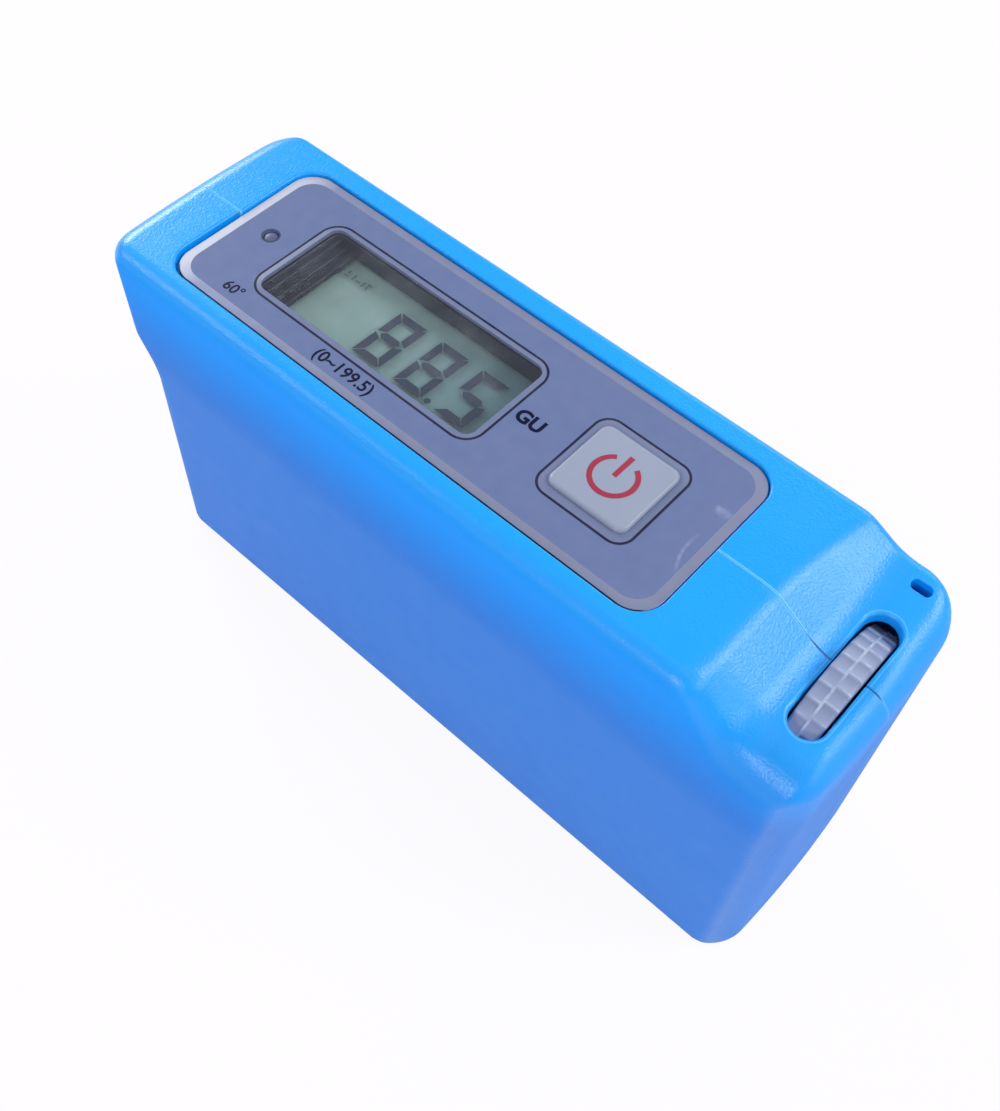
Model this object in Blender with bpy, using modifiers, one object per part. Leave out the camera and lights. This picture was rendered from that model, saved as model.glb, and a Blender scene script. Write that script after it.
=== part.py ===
# Hand-held 60 degree gloss meter.
# X runs along the face label, Y from the front to the back, Z up.
# The origin is under the middle of the case, on the surface that the base plate rests on.

import math
from collections import namedtuple

import bmesh
import bpy
from mathutils import Matrix, Vector

MM = 0.001

# Fits
SEAT = 0.25 * MM            # gap between pieces that seat on each other
SEAM = 0.3 * MM             # gap between the two shells
RUNNING = 0.3 * MM          # gap beside pieces that move
MARGIN = 2.0 * MM           # how far a cutter reaches past what it cuts
BEVEL_LIMIT = math.radians(50)      # only edges sharper than this are bevelled

# Case
CASE_LENGTH = 115.0 * MM
CASE_WIDTH = 33.5 * MM
CASE_HEIGHT = 59.0 * MM
CASE_FLOOR = 0.4 * MM       # lower edge of the shells
SIDE_WALL = 2.2 * MM
END_WALL = 2.2 * MM
TOP_WALL = 3.0 * MM
LEDGE_WALL = 1.6 * MM
FLOOR_WALL = 2.2 * MM
END_CROWN = 0.8 * MM        # bulge of the end faces in plan
END_FILLET = 5.0 * MM       # rounding between an end face and a side
TOP_FILLET = 3.0 * MM       # rounding between the top and a side
LEDGE_FILLET = 7.5 * MM     # rounding between the ledge and a side
BACK_TOP_FILLET = 1.3 * MM      # the same edges at the back, which are sharper
BACK_LEDGE_FILLET = 2.0 * MM
LEDGE_RISE = 2.8 * MM           # how far the ledge climbs from the middle plane to the back
RAMP_SHIFT = 2.2 * MM           # how far the ramp's top moves to the right on the way
LEDGE_ROUNDING_GAIN = 3.5 * MM  # and how much the ledge's end rounding grows
LEAN_POWER = 1.5                # of the depth, for all three
FLOOR_FILLET = 1.0 * MM
INNER_FILLET = 0.8 * MM     # smallest rounding inside
TONGUE_SHARE = 0.62         # of the wall's thickness, outside the front shell's tongue
TONGUE_REACH = 1.2 * MM     # past the middle plane
ROOT = 0.6 * MM             # how far bosses, posts and ribs grow into a wall
TOP_ROUNDING = 4.0 * MM     # roundings in the side view
FOOT_ROUNDING = 2.5 * MM
GRIP_ROUNDING = 6.0 * MM
RAMP_TOP_ROUNDING = 5.0 * MM
RAMP_FOOT_ROUNDING = 8.0 * MM
LEDGE_ROUNDING = 3.5 * MM
SHARP_ROUNDING = 0.8 * MM
FOOT_SETBACK = 1.6 * MM     # left end, at the floor
GRIP_SETBACK = 2.9 * MM     # left end, under the overhang
GRIP_DROP = 22.0 * MM       # from the top to the foot of the overhang's curve
HEAD_DROP = 16.5 * MM       # from the top to the lower end of the overhang
RAMP_REACH = 17.2 * MM      # from the right end to the top of the ramp
LEDGE_REACH = 9.6 * MM      # from the right end to the foot of the ramp
LEDGE_DROP = 5.05 * MM

# Face label and what shows in it
LABEL_INSET = 10.6 * MM     # from the left end of the case
LABEL_END_INSET = 25.3 * MM     # from the right end of the case
LABEL_MARGIN = 3.75 * MM    # from each side of the case
LABEL_THICK = 0.5 * MM
LABEL_ROUNDING = 3.8 * MM
LABEL_SINK = 0.5 * MM       # below the rim
WINDOW_INSET = 10.9 * MM    # from the left end of the label
WINDOW_END_INSET = 31.2 * MM    # from the right end of the label
WINDOW_MARGIN = 5.75 * MM   # from each side of the label
WINDOW_ROUNDING = 2.0 * MM
WINDOW_THICK = 0.5 * MM
KEY_SIZE = 11.6 * MM
KEY_ROUNDING = 1.2 * MM
KEY_END_INSET = 14.6 * MM   # from the right end of the label to the middle of the key
KEY_PROUD = 0.8 * MM
KEY_BEVEL = 0.5 * MM
KEY_FLANGE = 1.4 * MM
KEY_FLANGE_THICK = 1.0 * MM
KEY_TRAVEL = 0.5 * MM
KEY_STEM_RADIUS = 2.5 * MM
INDICATOR_CENTRE = 5.65 * MM
INDICATOR_RADIUS = 1.1 * MM
INDICATOR_SINK = 0.1 * MM
INDICATOR_DOME = 0.35 * MM
INDICATOR_COLLAR = 0.7 * MM
INDICATOR_COLLAR_THICK = 1.0 * MM

# Display
DISPLAY_DEPTH = 3.6 * MM    # from the label's surface down to the display's glass
DISPLAY_END_LAP = 0.8 * MM      # how far the display reaches past the window's ends
DISPLAY_SIDE_LAP = 1.05 * MM    # and past its sides
DISPLAY_THICK = 2.2 * MM
BEZEL_COLLAR = 0.8 * MM     # wall of the bezel's raised collar
BEZEL_INSET = 0.2 * MM      # from the window's edge in to the collar's inner face
BEZEL_TIERS = 3             # steps inside the collar, at its left end
TIER_REACH = 1.03 * MM
TIER_DROP = 1.1 * MM        # from the label's surface down to the first step
TIER_RISE = 0.8 * MM
BEZEL_RIM = 1.4 * MM        # wall of the bezel beside the display
BEZEL_FLANGE_THICK = 1.0 * MM
STRIP_WIDTH = 1.8 * MM
STRIP_HEIGHT = 1.2 * MM
STRIP_SHORT = 1.2 * MM      # how much shorter than the display at each end

# Main board
BOARD_THICK = 1.6 * MM
BOARD_SIDE_GAP = 2.05 * MM      # between the board and a side wall
BOARD_ROUNDING = 1.0 * MM
BOARD_POST_RADIUS = 2.4 * MM
BOARD_POST_INSET = 3.3 * MM     # from the board's side to its posts
BOARD_SCREW_INSET = 3.2 * MM    # from the board's end to its screws
BOARD_POST_GAP = 0.4 * MM       # between a post and what it passes
CHIP_THICK = 1.2 * MM
CONTROLLER_SIZE = 10.0 * MM
AMPLIFIER_LENGTH = 5.0 * MM
AMPLIFIER_WIDTH = 4.0 * MM
CHIP_SHIFT = 12.0 * MM         # from the controller to the amplifier
PACKAGE_BEVEL = 0.2 * MM        # edges of the chips and of the switch
DIODE_LENGTH = 3.2 * MM
DIODE_WIDTH = 1.6 * MM
DIODE_THICK = 1.1 * MM
SWITCH_SIZE = 6.0 * MM
SWITCH_HEIGHT = 1.8 * MM
PLUNGER_RADIUS = 1.7 * MM
PLUNGER_PROUD = 0.8 * MM
PLUNGER_SUNK = 0.8 * MM

# Calibration wheel and its potentiometer
SLOT_LENGTH = 18.7 * MM
SLOT_WIDTH = 4.5 * MM
SLOT_INSET = 6.05 * MM      # from the right end to the middle of the slot
SLOT_SHIFT = -0.6 * MM      # towards the front
WHEEL_PROUD = 1.6 * MM
WHEEL_SIDE_GAP = 0.65 * MM  # between the wheel and the nearer side wall
WHEEL_PADS = 30
WHEEL_GROOVE_DEPTH = 0.35 * MM
WHEEL_GROOVE_WIDTH = 0.45 * MM
WHEEL_RIM = 2.4 * MM
WHEEL_WEB = 1.6 * MM
WHEEL_HUB_RADIUS = 5.0 * MM
SHAFT_RADIUS = 3.0 * MM
SHAFT_FLAT = 0.8 * MM
POT_RADIUS = 8.2 * MM
POT_LENGTH = 6.5 * MM
POT_FLOOR = 1.6 * MM            # left under the shaft
POT_BUSH_RADIUS = 3.9 * MM
POT_NUT_RADIUS = 5.6 * MM
POT_NUT_THICK = 1.5 * MM
BRACKET_THICK = 1.2 * MM
BRACKET_ABOVE = 5.4 * MM        # from the wheel's axis up
BRACKET_BELOW = 12.0 * MM
RAIL_WIDTH = 1.2 * MM
RAIL_HEIGHT = 1.5 * MM

# Base plate
FLOOR_RIM = 2.05 * MM       # floor of the shells left along the sides
FLOOR_END_RIM = 5.3 * MM    # and at the ends
BASE_STEP = 1.1 * MM        # how far the captive flange reaches over the shells' floor
BASE_FLANGE_THICK = 1.5 * MM
BASE_ROUNDING = 5.0 * MM
BASE_CHAMFER = 0.3 * MM

# Optics
BEAM_ANGLE = math.radians(60)   # from the vertical
BEAM_RADIUS = 3.5 * MM
APERTURE_LENGTH = 15.0 * MM
WELL_RISE = 1.0 * MM            # of the light well into the optics block
BARREL_RADIUS = 4.5 * MM        # bore that takes the lenses
ARM_HALF = 6.0 * MM
ARM_WIDTH = 18.0 * MM
ARM_LENGTH = 44.0 * MM
SHOULDER = 21.0 * MM            # lens seat, along the beam
LENS_THICK = 2.4 * MM
LENS_EDGE = 1.0 * MM
RING_LENGTH = 2.0 * MM
RING_WALL = 0.9 * MM
STOP_THICK = 0.8 * MM
STOP_PLACE = 34.0 * MM          # along the beam
SOURCE_STOP_RADIUS = 0.9 * MM
RECEIVER_STOP_RADIUS = 1.4 * MM
FILTER_THICK = 1.5 * MM
HOLDER_FLANGE = 2.5 * MM
HOLDER_PLUG = 3.5 * MM
LAMP_RADIUS = 1.5 * MM
LAMP_LENGTH = 6.0 * MM
PHOTODIODE_RADIUS = 2.5 * MM
PHOTODIODE_LENGTH = 2.5 * MM
PHOTODIODE_FLANGE = 0.6 * MM

# Battery
BATTERY_LENGTH = 49.2 * MM      # without the terminal
BATTERY_RADIUS = 7.2 * MM
BATTERY_TERMINAL = 1.2 * MM
BATTERY_TERMINAL_RADIUS = 2.7 * MM
BATTERY_CHAMFER = 0.5 * MM
TRAY_WALL = 1.2 * MM
TRAY_LIFT = 0.5 * MM            # above the arms of the optics block
TRAY_PLAY = 0.4 * MM            # beside the battery
CONTACT_THICK = 0.4 * MM
CONTACT_SIZE = 9.0 * MM
SPRING_WIRE = 0.4 * MM
SPRING_RADIUS = 3.2 * MM
SPRING_LENGTH = 3.6 * MM
SPRING_TURNS = 3
SPRING_FLARE = 0.4              # how much wider the coil is at its seat
SPRING_STEPS = 8                # points in each turn
DOOR_THICK = 1.4 * MM
DOOR_LAP = 1.7 * MM             # how far the door laps over its opening
DOOR_PAD = 1.5 * MM             # thickening of the shell round the opening
DOOR_PAD_REACH = 3.0 * MM
TAB_WIDTH = 4.0 * MM
TAB_REACH = 2.0 * MM
TAB_THICK = 1.25 * MM
TAB_ROOT = 1.6 * MM
TAB_SPREAD = 8.0 * MM
GRIP_RIBS = 3
GRIP_RIB_PITCH = 1.8 * MM
GRIP_RIB_LENGTH = 9.0 * MM
GRIP_RIB_WIDTH = 0.7 * MM
GRIP_RIB_DEPTH = 0.4 * MM
GRIP_RIB_INSET = 4.0 * MM

# Screws
CASE_SCREW_RADIUS = 1.3 * MM
CASE_HEAD_RADIUS = 2.3 * MM
CASE_HEAD_THICK = 1.6 * MM
CASE_HEAD_SINK = 1.0 * MM
CASE_SCREW_BITE = 8.0 * MM      # how far the screw reaches past the seam
CASE_BOSS_RADIUS = 3.8 * MM
BOSS_EDGE = 0.6 * MM            # from a head's recess to the rounding of the side face
BOSS_LOW = 10.0 * MM
BOSS_BOARD_GAP = 1.2 * MM       # between the high bosses and the board
BOSS_POT_GAP = 1.2 * MM
SMALL_SCREW_RADIUS = 1.0 * MM
SMALL_HEAD_RADIUS = 1.9 * MM
SMALL_HEAD_THICK = 1.1 * MM
SMALL_SCREW_BITE = 3.0 * MM
OPTICS_SCREW_BITE = 5.0 * MM
OPTICS_SCREW_X = 13.0 * MM
OPTICS_SCREW_Y = 6.6 * MM
SCREW_PLAY = 0.25 * MM
DRIVE_RADIUS = 0.45             # of the head, for the socket
DRIVE_DEPTH = 0.6               # of the head's height
HEAD_FLAT = 0.7                 # of the head's radius, for its flat top
HEAD_SIDE = 0.6                 # of the head's height, for its upright side

# Strap holes
STRAP_LENGTH = 2.7 * MM
STRAP_WIDTH = 1.4 * MM
STRAP_RADIUS = 1.0 * MM         # of the lower hole
STRAP_INSET = 5.8 * MM
STRAP_SIDE = 3.15 * MM          # from the back to the upper hole
STRAP_DROP = 6.5 * MM           # from the ledge down to the lower hole

# Derived places
LEFT = -CASE_LENGTH / 2
RIGHT = CASE_LENGTH / 2
HALF_WIDTH = CASE_WIDTH / 2
INNER_HALF = HALF_WIDTH - SIDE_WALL
LEDGE_TOP = CASE_HEIGHT - LEDGE_DROP
LABEL_TOP = CASE_HEIGHT - LABEL_SINK
LABEL_LEFT = LEFT + LABEL_INSET
LABEL_RIGHT = RIGHT - LABEL_END_INSET
LABEL_LENGTH = LABEL_RIGHT - LABEL_LEFT
LABEL_WIDTH = CASE_WIDTH - 2 * LABEL_MARGIN
LABEL_CENTRE_X = LABEL_LEFT + LABEL_LENGTH / 2
RECESS_FLOOR = LABEL_TOP - LABEL_THICK - SEAT
CEILING = CASE_HEIGHT - TOP_WALL
WINDOW_LENGTH = LABEL_LENGTH - WINDOW_INSET - WINDOW_END_INSET
WINDOW_WIDTH = LABEL_WIDTH - 2 * WINDOW_MARGIN
WINDOW_CENTRE_X = LABEL_LEFT + WINDOW_INSET + WINDOW_LENGTH / 2
KEY_X = LABEL_RIGHT - KEY_END_INSET
INDICATOR_X = LABEL_LEFT + INDICATOR_CENTRE
DISPLAY_TOP = LABEL_TOP - DISPLAY_DEPTH
DISPLAY_BOTTOM = DISPLAY_TOP - DISPLAY_THICK
DISPLAY_LENGTH = WINDOW_LENGTH + 2 * DISPLAY_END_LAP
DISPLAY_WIDTH = WINDOW_WIDTH + 2 * DISPLAY_SIDE_LAP
COLLAR_LENGTH = WINDOW_LENGTH + 2 * (BEZEL_COLLAR - BEZEL_INSET)
COLLAR_WIDTH = WINDOW_WIDTH + 2 * (BEZEL_COLLAR - BEZEL_INSET)
BOARD_TOP = DISPLAY_BOTTOM - STRIP_HEIGHT - 2 * SEAT
BOARD_BOTTOM = BOARD_TOP - BOARD_THICK
BOARD_WIDTH = 2 * (INNER_HALF - BOARD_SIDE_GAP)
BOARD_POST_Y = BOARD_WIDTH / 2 - BOARD_POST_INSET
BEZEL_LENGTH = DISPLAY_LENGTH + 2 * (SEAT + BEZEL_RIM)
BEZEL_WIDTH = DISPLAY_WIDTH + 2 * (SEAT + BEZEL_RIM)
KEY_FLANGE_SIZE = KEY_SIZE + 2 * KEY_FLANGE
LEFT_POST_X = WINDOW_CENTRE_X - BEZEL_LENGTH / 2 - BOARD_POST_GAP - BOARD_POST_RADIUS
RIGHT_POST_X = KEY_X + KEY_FLANGE_SIZE / 2 + BOARD_POST_GAP + BOARD_POST_RADIUS
BOARD_LEFT = min(LEFT_POST_X, INDICATOR_X) - BOARD_SCREW_INSET
BOARD_RIGHT = RIGHT_POST_X + BOARD_SCREW_INSET
SLOT_X = RIGHT - SLOT_INSET
WHEEL_THICK = SLOT_WIDTH - 2 * RUNNING
WHEEL_RADIUS = INNER_HALF - abs(SLOT_SHIFT) - WHEEL_SIDE_GAP
WHEEL_Z = LEDGE_TOP + WHEEL_PROUD - WHEEL_RADIUS
BRACKET_RIGHT = SLOT_X - WHEEL_THICK / 2 - POT_NUT_THICK - 2 * SEAT
BRACKET_LEFT = BRACKET_RIGHT - BRACKET_THICK
POT_RIGHT = BRACKET_LEFT - SEAT
POT_LEFT = POT_RIGHT - POT_LENGTH
BASE_LENGTH = CASE_LENGTH - 2 * (END_WALL + FLOOR_END_RIM)
BASE_WIDTH = CASE_WIDTH - 2 * (SIDE_WALL + FLOOR_RIM)
BASE_FLANGE_LOW = CASE_FLOOR + FLOOR_WALL + SEAT
BASE_TOP = BASE_FLANGE_LOW + BASE_FLANGE_THICK
BLOCK_FLOOR = BASE_TOP + SEAT
BEAM = Vector((math.sin(BEAM_ANGLE), 0, math.cos(BEAM_ANGLE)))
BATTERY_ROOM = BATTERY_LENGTH + BATTERY_TERMINAL + SPRING_LENGTH + 2 * CONTACT_THICK + 5 * SEAT
TRAY_LENGTH = BATTERY_ROOM + 2 * TRAY_WALL
TRAY_HALF = BATTERY_RADIUS + TRAY_PLAY
TRAY_FLOOR = (
    TRAY_LENGTH / 2 * math.cos(BEAM_ANGLE) / math.sin(BEAM_ANGLE)
    + ARM_HALF / math.sin(BEAM_ANGLE)
    + TRAY_LIFT
)
BATTERY_Z = TRAY_FLOOR + TRAY_WALL + TRAY_HALF
PAD_INNER = INNER_HALF - DOOR_PAD
TRAY_BACK = PAD_INNER - SEAT
BATTERY_Y = TRAY_BACK - BATTERY_RADIUS - TRAY_PLAY
TRAY_FRONT = BATTERY_Y - TRAY_HALF - TRAY_WALL
OPENING_LENGTH = BATTERY_ROOM
OPENING_HEIGHT = 2 * TRAY_HALF
DOOR_LENGTH = OPENING_LENGTH + 2 * DOOR_LAP
DOOR_HEIGHT = OPENING_HEIGHT + 2 * DOOR_LAP
DOOR_UNDER = HALF_WIDTH - DOOR_THICK
DOOR_HINGE_X = -DOOR_LENGTH / 2 - SEAT / 2
LEDGE_FACE = DOOR_UNDER - SEAT

Corner = namedtuple("Corner", "x z rounding fillet_in fillet_out steps")


# Rounding along the top and along the ledge, for the front half and the rear one
FILLETS = {-1: (TOP_FILLET, LEDGE_FILLET), 1: (BACK_TOP_FILLET, BACK_LEDGE_FILLET)}


def profile_corners(side, depth):
    """Corners of the case seen from the front at a depth, from the lower left upwards and round."""
    top, ledge = FILLETS[side]
    lean = (depth / HALF_WIDTH) ** LEAN_POWER if side > 0 else 0.0
    ramp_x = RIGHT - RAMP_REACH + RAMP_SHIFT * lean
    ledge_z = LEDGE_TOP + LEDGE_RISE * lean
    ledge_rounding = LEDGE_ROUNDING + LEDGE_ROUNDING_GAIN * lean
    return [
        Corner(LEFT + FOOT_SETBACK, CASE_FLOOR, FOOT_ROUNDING, FLOOR_FILLET, END_FILLET, 3),
        Corner(LEFT + GRIP_SETBACK, CASE_HEIGHT - GRIP_DROP, GRIP_ROUNDING, END_FILLET, END_FILLET, 3),
        Corner(LEFT, CASE_HEIGHT - HEAD_DROP, GRIP_ROUNDING, END_FILLET, END_FILLET, 3),
        Corner(LEFT, CASE_HEIGHT, TOP_ROUNDING, END_FILLET, top, 5),
        Corner(ramp_x, CASE_HEIGHT, RAMP_TOP_ROUNDING, top, top, 4),
        Corner(RIGHT - LEDGE_REACH, ledge_z, RAMP_FOOT_ROUNDING, ledge, ledge, 4),
        Corner(RIGHT, ledge_z, ledge_rounding, ledge, END_FILLET, 5),
        Corner(RIGHT, CASE_FLOOR, FOOT_ROUNDING, END_FILLET, FLOOR_FILLET, 3),
    ]


# Wall and bulge of the side that leaves each corner
SIDE_WALLS = [END_WALL, END_WALL, END_WALL, TOP_WALL, LEDGE_WALL, LEDGE_WALL, END_WALL, FLOOR_WALL]
SIDE_CROWNS = [END_CROWN, END_CROWN, END_CROWN, 0, 0, 0, END_CROWN, 0]


def arc_inset(depth, half, radius):
    """How far a quarter-round edge has drawn in at a depth from the middle plane."""
    past = depth - (half - radius)
    if past <= 0:
        return 0.0
    return radius - math.sqrt(max(radius * radius - past * past, 0.0))


def rounded_outline(points, radii, steps):
    """Closed outline with each corner replaced by an arc of its own radius."""
    outline = []
    count = len(points)
    for i in range(count):
        here = points[i]
        back = points[i - 1] - here
        ahead = points[(i + 1) % count] - here
        room = 0.48 * min(back.length, ahead.length)
        back.normalize()
        ahead.normalize()
        turn = math.pi - back.angle(ahead)
        tangent = min(radii[i] * math.tan(turn / 2), room)
        radius = tangent / math.tan(turn / 2)
        centre_way = (back + ahead).normalized()
        centre = here + centre_way * (radius / math.cos(turn / 2))
        start = here + back * tangent - centre
        finish = here + ahead * tangent - centre
        for k in range(steps[i] + 1):
            share = k / steps[i]
            weight_a = math.sin((1 - share) * turn) / math.sin(turn)
            weight_b = math.sin(share * turn) / math.sin(turn)
            outline.append(centre + start * weight_a + finish * weight_b)
    return outline


def case_section(side, depth, share):
    """Outline of the case at a depth from the middle plane and a share of the way through its wall."""
    corners = profile_corners(side, depth)
    half = HALF_WIDTH - share * SIDE_WALL
    bulge = (depth / half) ** 2
    points = []
    radii = []
    for i, corner in enumerate(corners):
        here = Vector((corner.x, corner.z))
        before = corners[i - 1]
        after = corners[(i + 1) % len(corners)]
        way_in = (here - Vector((before.x, before.z))).normalized()
        way_out = (Vector((after.x, after.z)) - here).normalized()
        normal_in = Vector((way_in.y, -way_in.x))
        normal_out = Vector((way_out.y, -way_out.x))
        wall_in = share * SIDE_WALLS[i - 1]
        wall_out = share * SIDE_WALLS[i]
        round_in = max(corner.fillet_in - wall_in, INNER_FILLET)
        round_out = max(corner.fillet_out - wall_out, INNER_FILLET)
        inset_in = wall_in + arc_inset(depth, half, round_in) + SIDE_CROWNS[i - 1] * bulge
        inset_out = wall_out + arc_inset(depth, half, round_out) + SIDE_CROWNS[i] * bulge
        cross = normal_in.x * normal_out.y - normal_in.y * normal_out.x
        points.append(here + Vector((
            (inset_in * normal_out.y - inset_out * normal_in.y) / cross,
            (inset_out * normal_in.x - inset_in * normal_out.x) / cross,
        )))
        mean = (inset_in + inset_out) / 2
        hollow = way_in.x * way_out.y - way_in.y * way_out.x > 0
        radii.append(corner.rounding + mean if hollow else max(corner.rounding - mean, SHARP_ROUNDING))
    return rounded_outline(points, radii, [corner.steps for corner in corners])


def case_depths(first, half, largest, angles):
    """Depths at which the case is cut into sections, close together on the fillets."""
    depths = [first]
    for angle in angles:
        depths.append(half - largest * (1 - math.sin(math.radians(angle))))
    return depths


# Collections and materials
def clear_scene():
    for obj in list(bpy.data.objects):
        bpy.data.objects.remove(obj, do_unlink=True)


def new_collection(name):
    collection = bpy.data.collections.new(name)
    bpy.context.scene.collection.children.link(collection)
    return collection


clear_scene()
PARTS = new_collection("gloss_meter")
CUTTERS = new_collection("cutters")

FINISHES = {
    "case_blue": ((0.05, 0.33, 0.86, 1.0), 0.42, 0.0),
    "label_grey": ((0.24, 0.29, 0.45, 1.0), 0.3, 0.0),
    "clear_plastic": ((0.85, 0.9, 0.92, 1.0), 0.08, 0.0),
    "black_plastic": ((0.02, 0.02, 0.025, 1.0), 0.5, 0.0),
    "display_glass": ((0.22, 0.3, 0.27, 1.0), 0.15, 0.0),
    "key_grey": ((0.42, 0.46, 0.58, 1.0), 0.4, 0.0),
    "wheel_grey": ((0.26, 0.3, 0.42, 1.0), 0.45, 0.0),
    "board_green": ((0.02, 0.16, 0.07, 1.0), 0.5, 0.0),
    "chip_black": ((0.03, 0.03, 0.03, 1.0), 0.6, 0.0),
    "rubber": ((0.25, 0.25, 0.27, 1.0), 0.8, 0.0),
    "black_metal": ((0.03, 0.03, 0.035, 1.0), 0.45, 0.9),
    "steel": ((0.6, 0.6, 0.62, 1.0), 0.3, 1.0),
    "brass": ((0.75, 0.6, 0.3, 1.0), 0.3, 1.0),
    "optical_glass": ((0.9, 0.95, 0.95, 1.0), 0.03, 0.0),
    "filter_glass": ((0.3, 0.5, 0.2, 1.0), 0.05, 0.0),
    "battery_sleeve": ((0.1, 0.12, 0.14, 1.0), 0.35, 0.3),
    "sensor_dark": ((0.05, 0.03, 0.06, 1.0), 0.2, 0.0),
}


def finish(name):
    """Principled material made once for each finish."""
    material = bpy.data.materials.get(name)
    if material is None:
        material = bpy.data.materials.new(name)
        material.use_nodes = True
        shader = material.node_tree.nodes["Principled BSDF"]
        color, roughness, metallic = FINISHES[name]
        shader.inputs["Base Color"].default_value = color
        shader.inputs["Roughness"].default_value = roughness
        shader.inputs["Metallic"].default_value = metallic
    return material


# Shapes
def place(obj, location=(0, 0, 0), rotation=(0, 0, 0), parent=None):
    obj.location = location
    obj.rotation_euler = rotation
    if parent is not None:
        obj.parent = parent
    return obj


def as_part(obj, name, finish_name):
    """Files an object among the parts under its own name and finish."""
    obj.name = name
    obj.data.name = name
    obj.data.materials.clear()
    obj.data.materials.append(finish(finish_name))
    for collection in list(obj.users_collection):
        collection.objects.unlink(obj)
    PARTS.objects.link(obj)
    return obj


def as_guide(obj):
    """Files an object among the cutters, where it isn't part of the model."""
    for collection in list(obj.users_collection):
        collection.objects.unlink(obj)
    CUTTERS.objects.link(obj)
    obj.hide_render = True
    obj.display_type = "WIRE"
    return obj


def mesh_object(name, mesh):
    obj = bpy.data.objects.new(name, mesh)
    bpy.context.scene.collection.objects.link(obj)
    return obj


def bmesh_object(name, work):
    mesh = bpy.data.meshes.new(name)
    work.to_mesh(mesh)
    work.free()
    return mesh_object(name, mesh)


def curve_to_mesh(curve_object):
    """Replaces a curve object by its closed mesh, with the caps welded on."""
    depsgraph = bpy.context.evaluated_depsgraph_get()
    mesh = bpy.data.meshes.new_from_object(curve_object.evaluated_get(depsgraph))
    work = bmesh.new()
    work.from_mesh(mesh)
    bmesh.ops.remove_doubles(work, verts=work.verts, dist=0.000001)
    bmesh.ops.recalc_face_normals(work, faces=work.faces)
    work.to_mesh(mesh)
    work.free()
    obj = mesh_object(curve_object.name + "_mesh", mesh)
    obj.matrix_world = curve_object.matrix_world
    bpy.data.objects.remove(curve_object, do_unlink=True)
    return obj


def box(size, centre, bevel=0.0, steps=2):
    work = bmesh.new()
    bmesh.ops.create_cube(work, size=1.0)
    bmesh.ops.scale(work, vec=size, verts=work.verts)
    if bevel > 0:
        bmesh.ops.bevel(
            work, geom=work.edges[:], offset=bevel, segments=steps, profile=0.5, affect="EDGES",
        )
    obj = bmesh_object("box", work)
    obj.location = centre
    return obj


def span_box(low, high, bevel=0.0, steps=2):
    """Box between two corners."""
    low = Vector(low)
    high = Vector(high)
    return box(high - low, (low + high) / 2, bevel, steps)


def rod(radius, start, end, segments=24):
    """Cylinder between two points."""
    start = Vector(start)
    end = Vector(end)
    work = bmesh.new()
    bmesh.ops.create_cone(
        work, cap_ends=True, segments=segments, radius1=radius, radius2=radius,
        depth=(end - start).length,
    )
    obj = bmesh_object("rod", work)
    obj.location = (start + end) / 2
    obj.rotation_euler = (end - start).to_track_quat("Z", "Y").to_euler()
    return obj


def rounded_rectangle(length, width, rounding, steps=4, centre=(0, 0)):
    half_length = length / 2
    half_width = width / 2
    corners = [
        Vector((centre[0] + half_length * a, centre[1] + half_width * b))
        for a, b in ((-1, -1), (1, -1), (1, 1), (-1, 1))
    ]
    return rounded_outline(corners, [rounding] * 4, [steps] * 4)


def flat_piece(outlines, low, high, bevel=0.0):
    """Flat outline in plan, with any holes, between two heights."""
    curve = bpy.data.curves.new("outline", "CURVE")
    curve.dimensions = "2D"
    curve.fill_mode = "BOTH"
    curve.extrude = (high - low) / 2
    for outline in outlines:
        spline = curve.splines.new("POLY")
        spline.points.add(len(outline) - 1)
        for point, place_2d in zip(spline.points, outline):
            point.co = (place_2d[0], place_2d[1], 0.0, 1.0)
        spline.use_cyclic_u = True
    obj = mesh_object("outline", curve)
    obj.location = (0, 0, (low + high) / 2)
    bpy.context.view_layer.update()
    obj = curve_to_mesh(obj)
    if bevel > 0:
        edge = obj.modifiers.new("edge", "BEVEL")
        edge.width = bevel
        edge.segments = 1
        edge.limit_method = "ANGLE"
        edge.angle_limit = BEVEL_LIMIT
    return obj


def turned(profile, segments=32):
    """Profile of radius and height, down its outer side, turned about Z and closed."""
    mesh = bpy.data.meshes.new("turned")
    mesh.from_pydata(
        [(radius, 0, height) for radius, height in profile],
        [(i, i + 1) for i in range(len(profile) - 1)],
        [],
    )
    if profile[0] != profile[-1] and profile[0][0] > 0:
        raise ValueError("a profile off the axis has to end where it starts")
    obj = mesh_object("turned", mesh)
    screw = obj.modifiers.new("turn", "SCREW")
    screw.steps = segments
    screw.render_steps = segments
    screw.use_merge_vertices = True
    screw.merge_threshold = 0.000005
    screw.use_smooth_shade = True
    weld = obj.modifiers.new("weld", "WELD")
    weld.merge_threshold = 0.000002
    return obj


def dome_profile(radius, rise, top, steps):
    """Elliptic arc from the axis down to the full radius, as radius and height."""
    arc = []
    for k in range(steps + 1):
        angle = k / steps * math.pi / 2
        arc.append((radius * math.sin(angle), top - rise * (1 - math.cos(angle))))
    return arc


def tube_profile(outer, inner, length):
    """Section of a ring that stands on its origin, closed on itself."""
    return [(inner, length), (outer, length), (outer, 0), (inner, 0), (inner, length)]


def combine(target, tool, operation):
    """Live Boolean of one object on another, with the tool put among the cutters."""
    as_guide(tool)
    modifier = target.modifiers.new(operation.lower(), "BOOLEAN")
    modifier.operation = operation
    modifier.solver = "EXACT"
    modifier.object = tool
    return target


def cut(target, tool):
    return combine(target, tool, "DIFFERENCE")


def fuse(target, tool):
    return combine(target, tool, "UNION")


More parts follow.
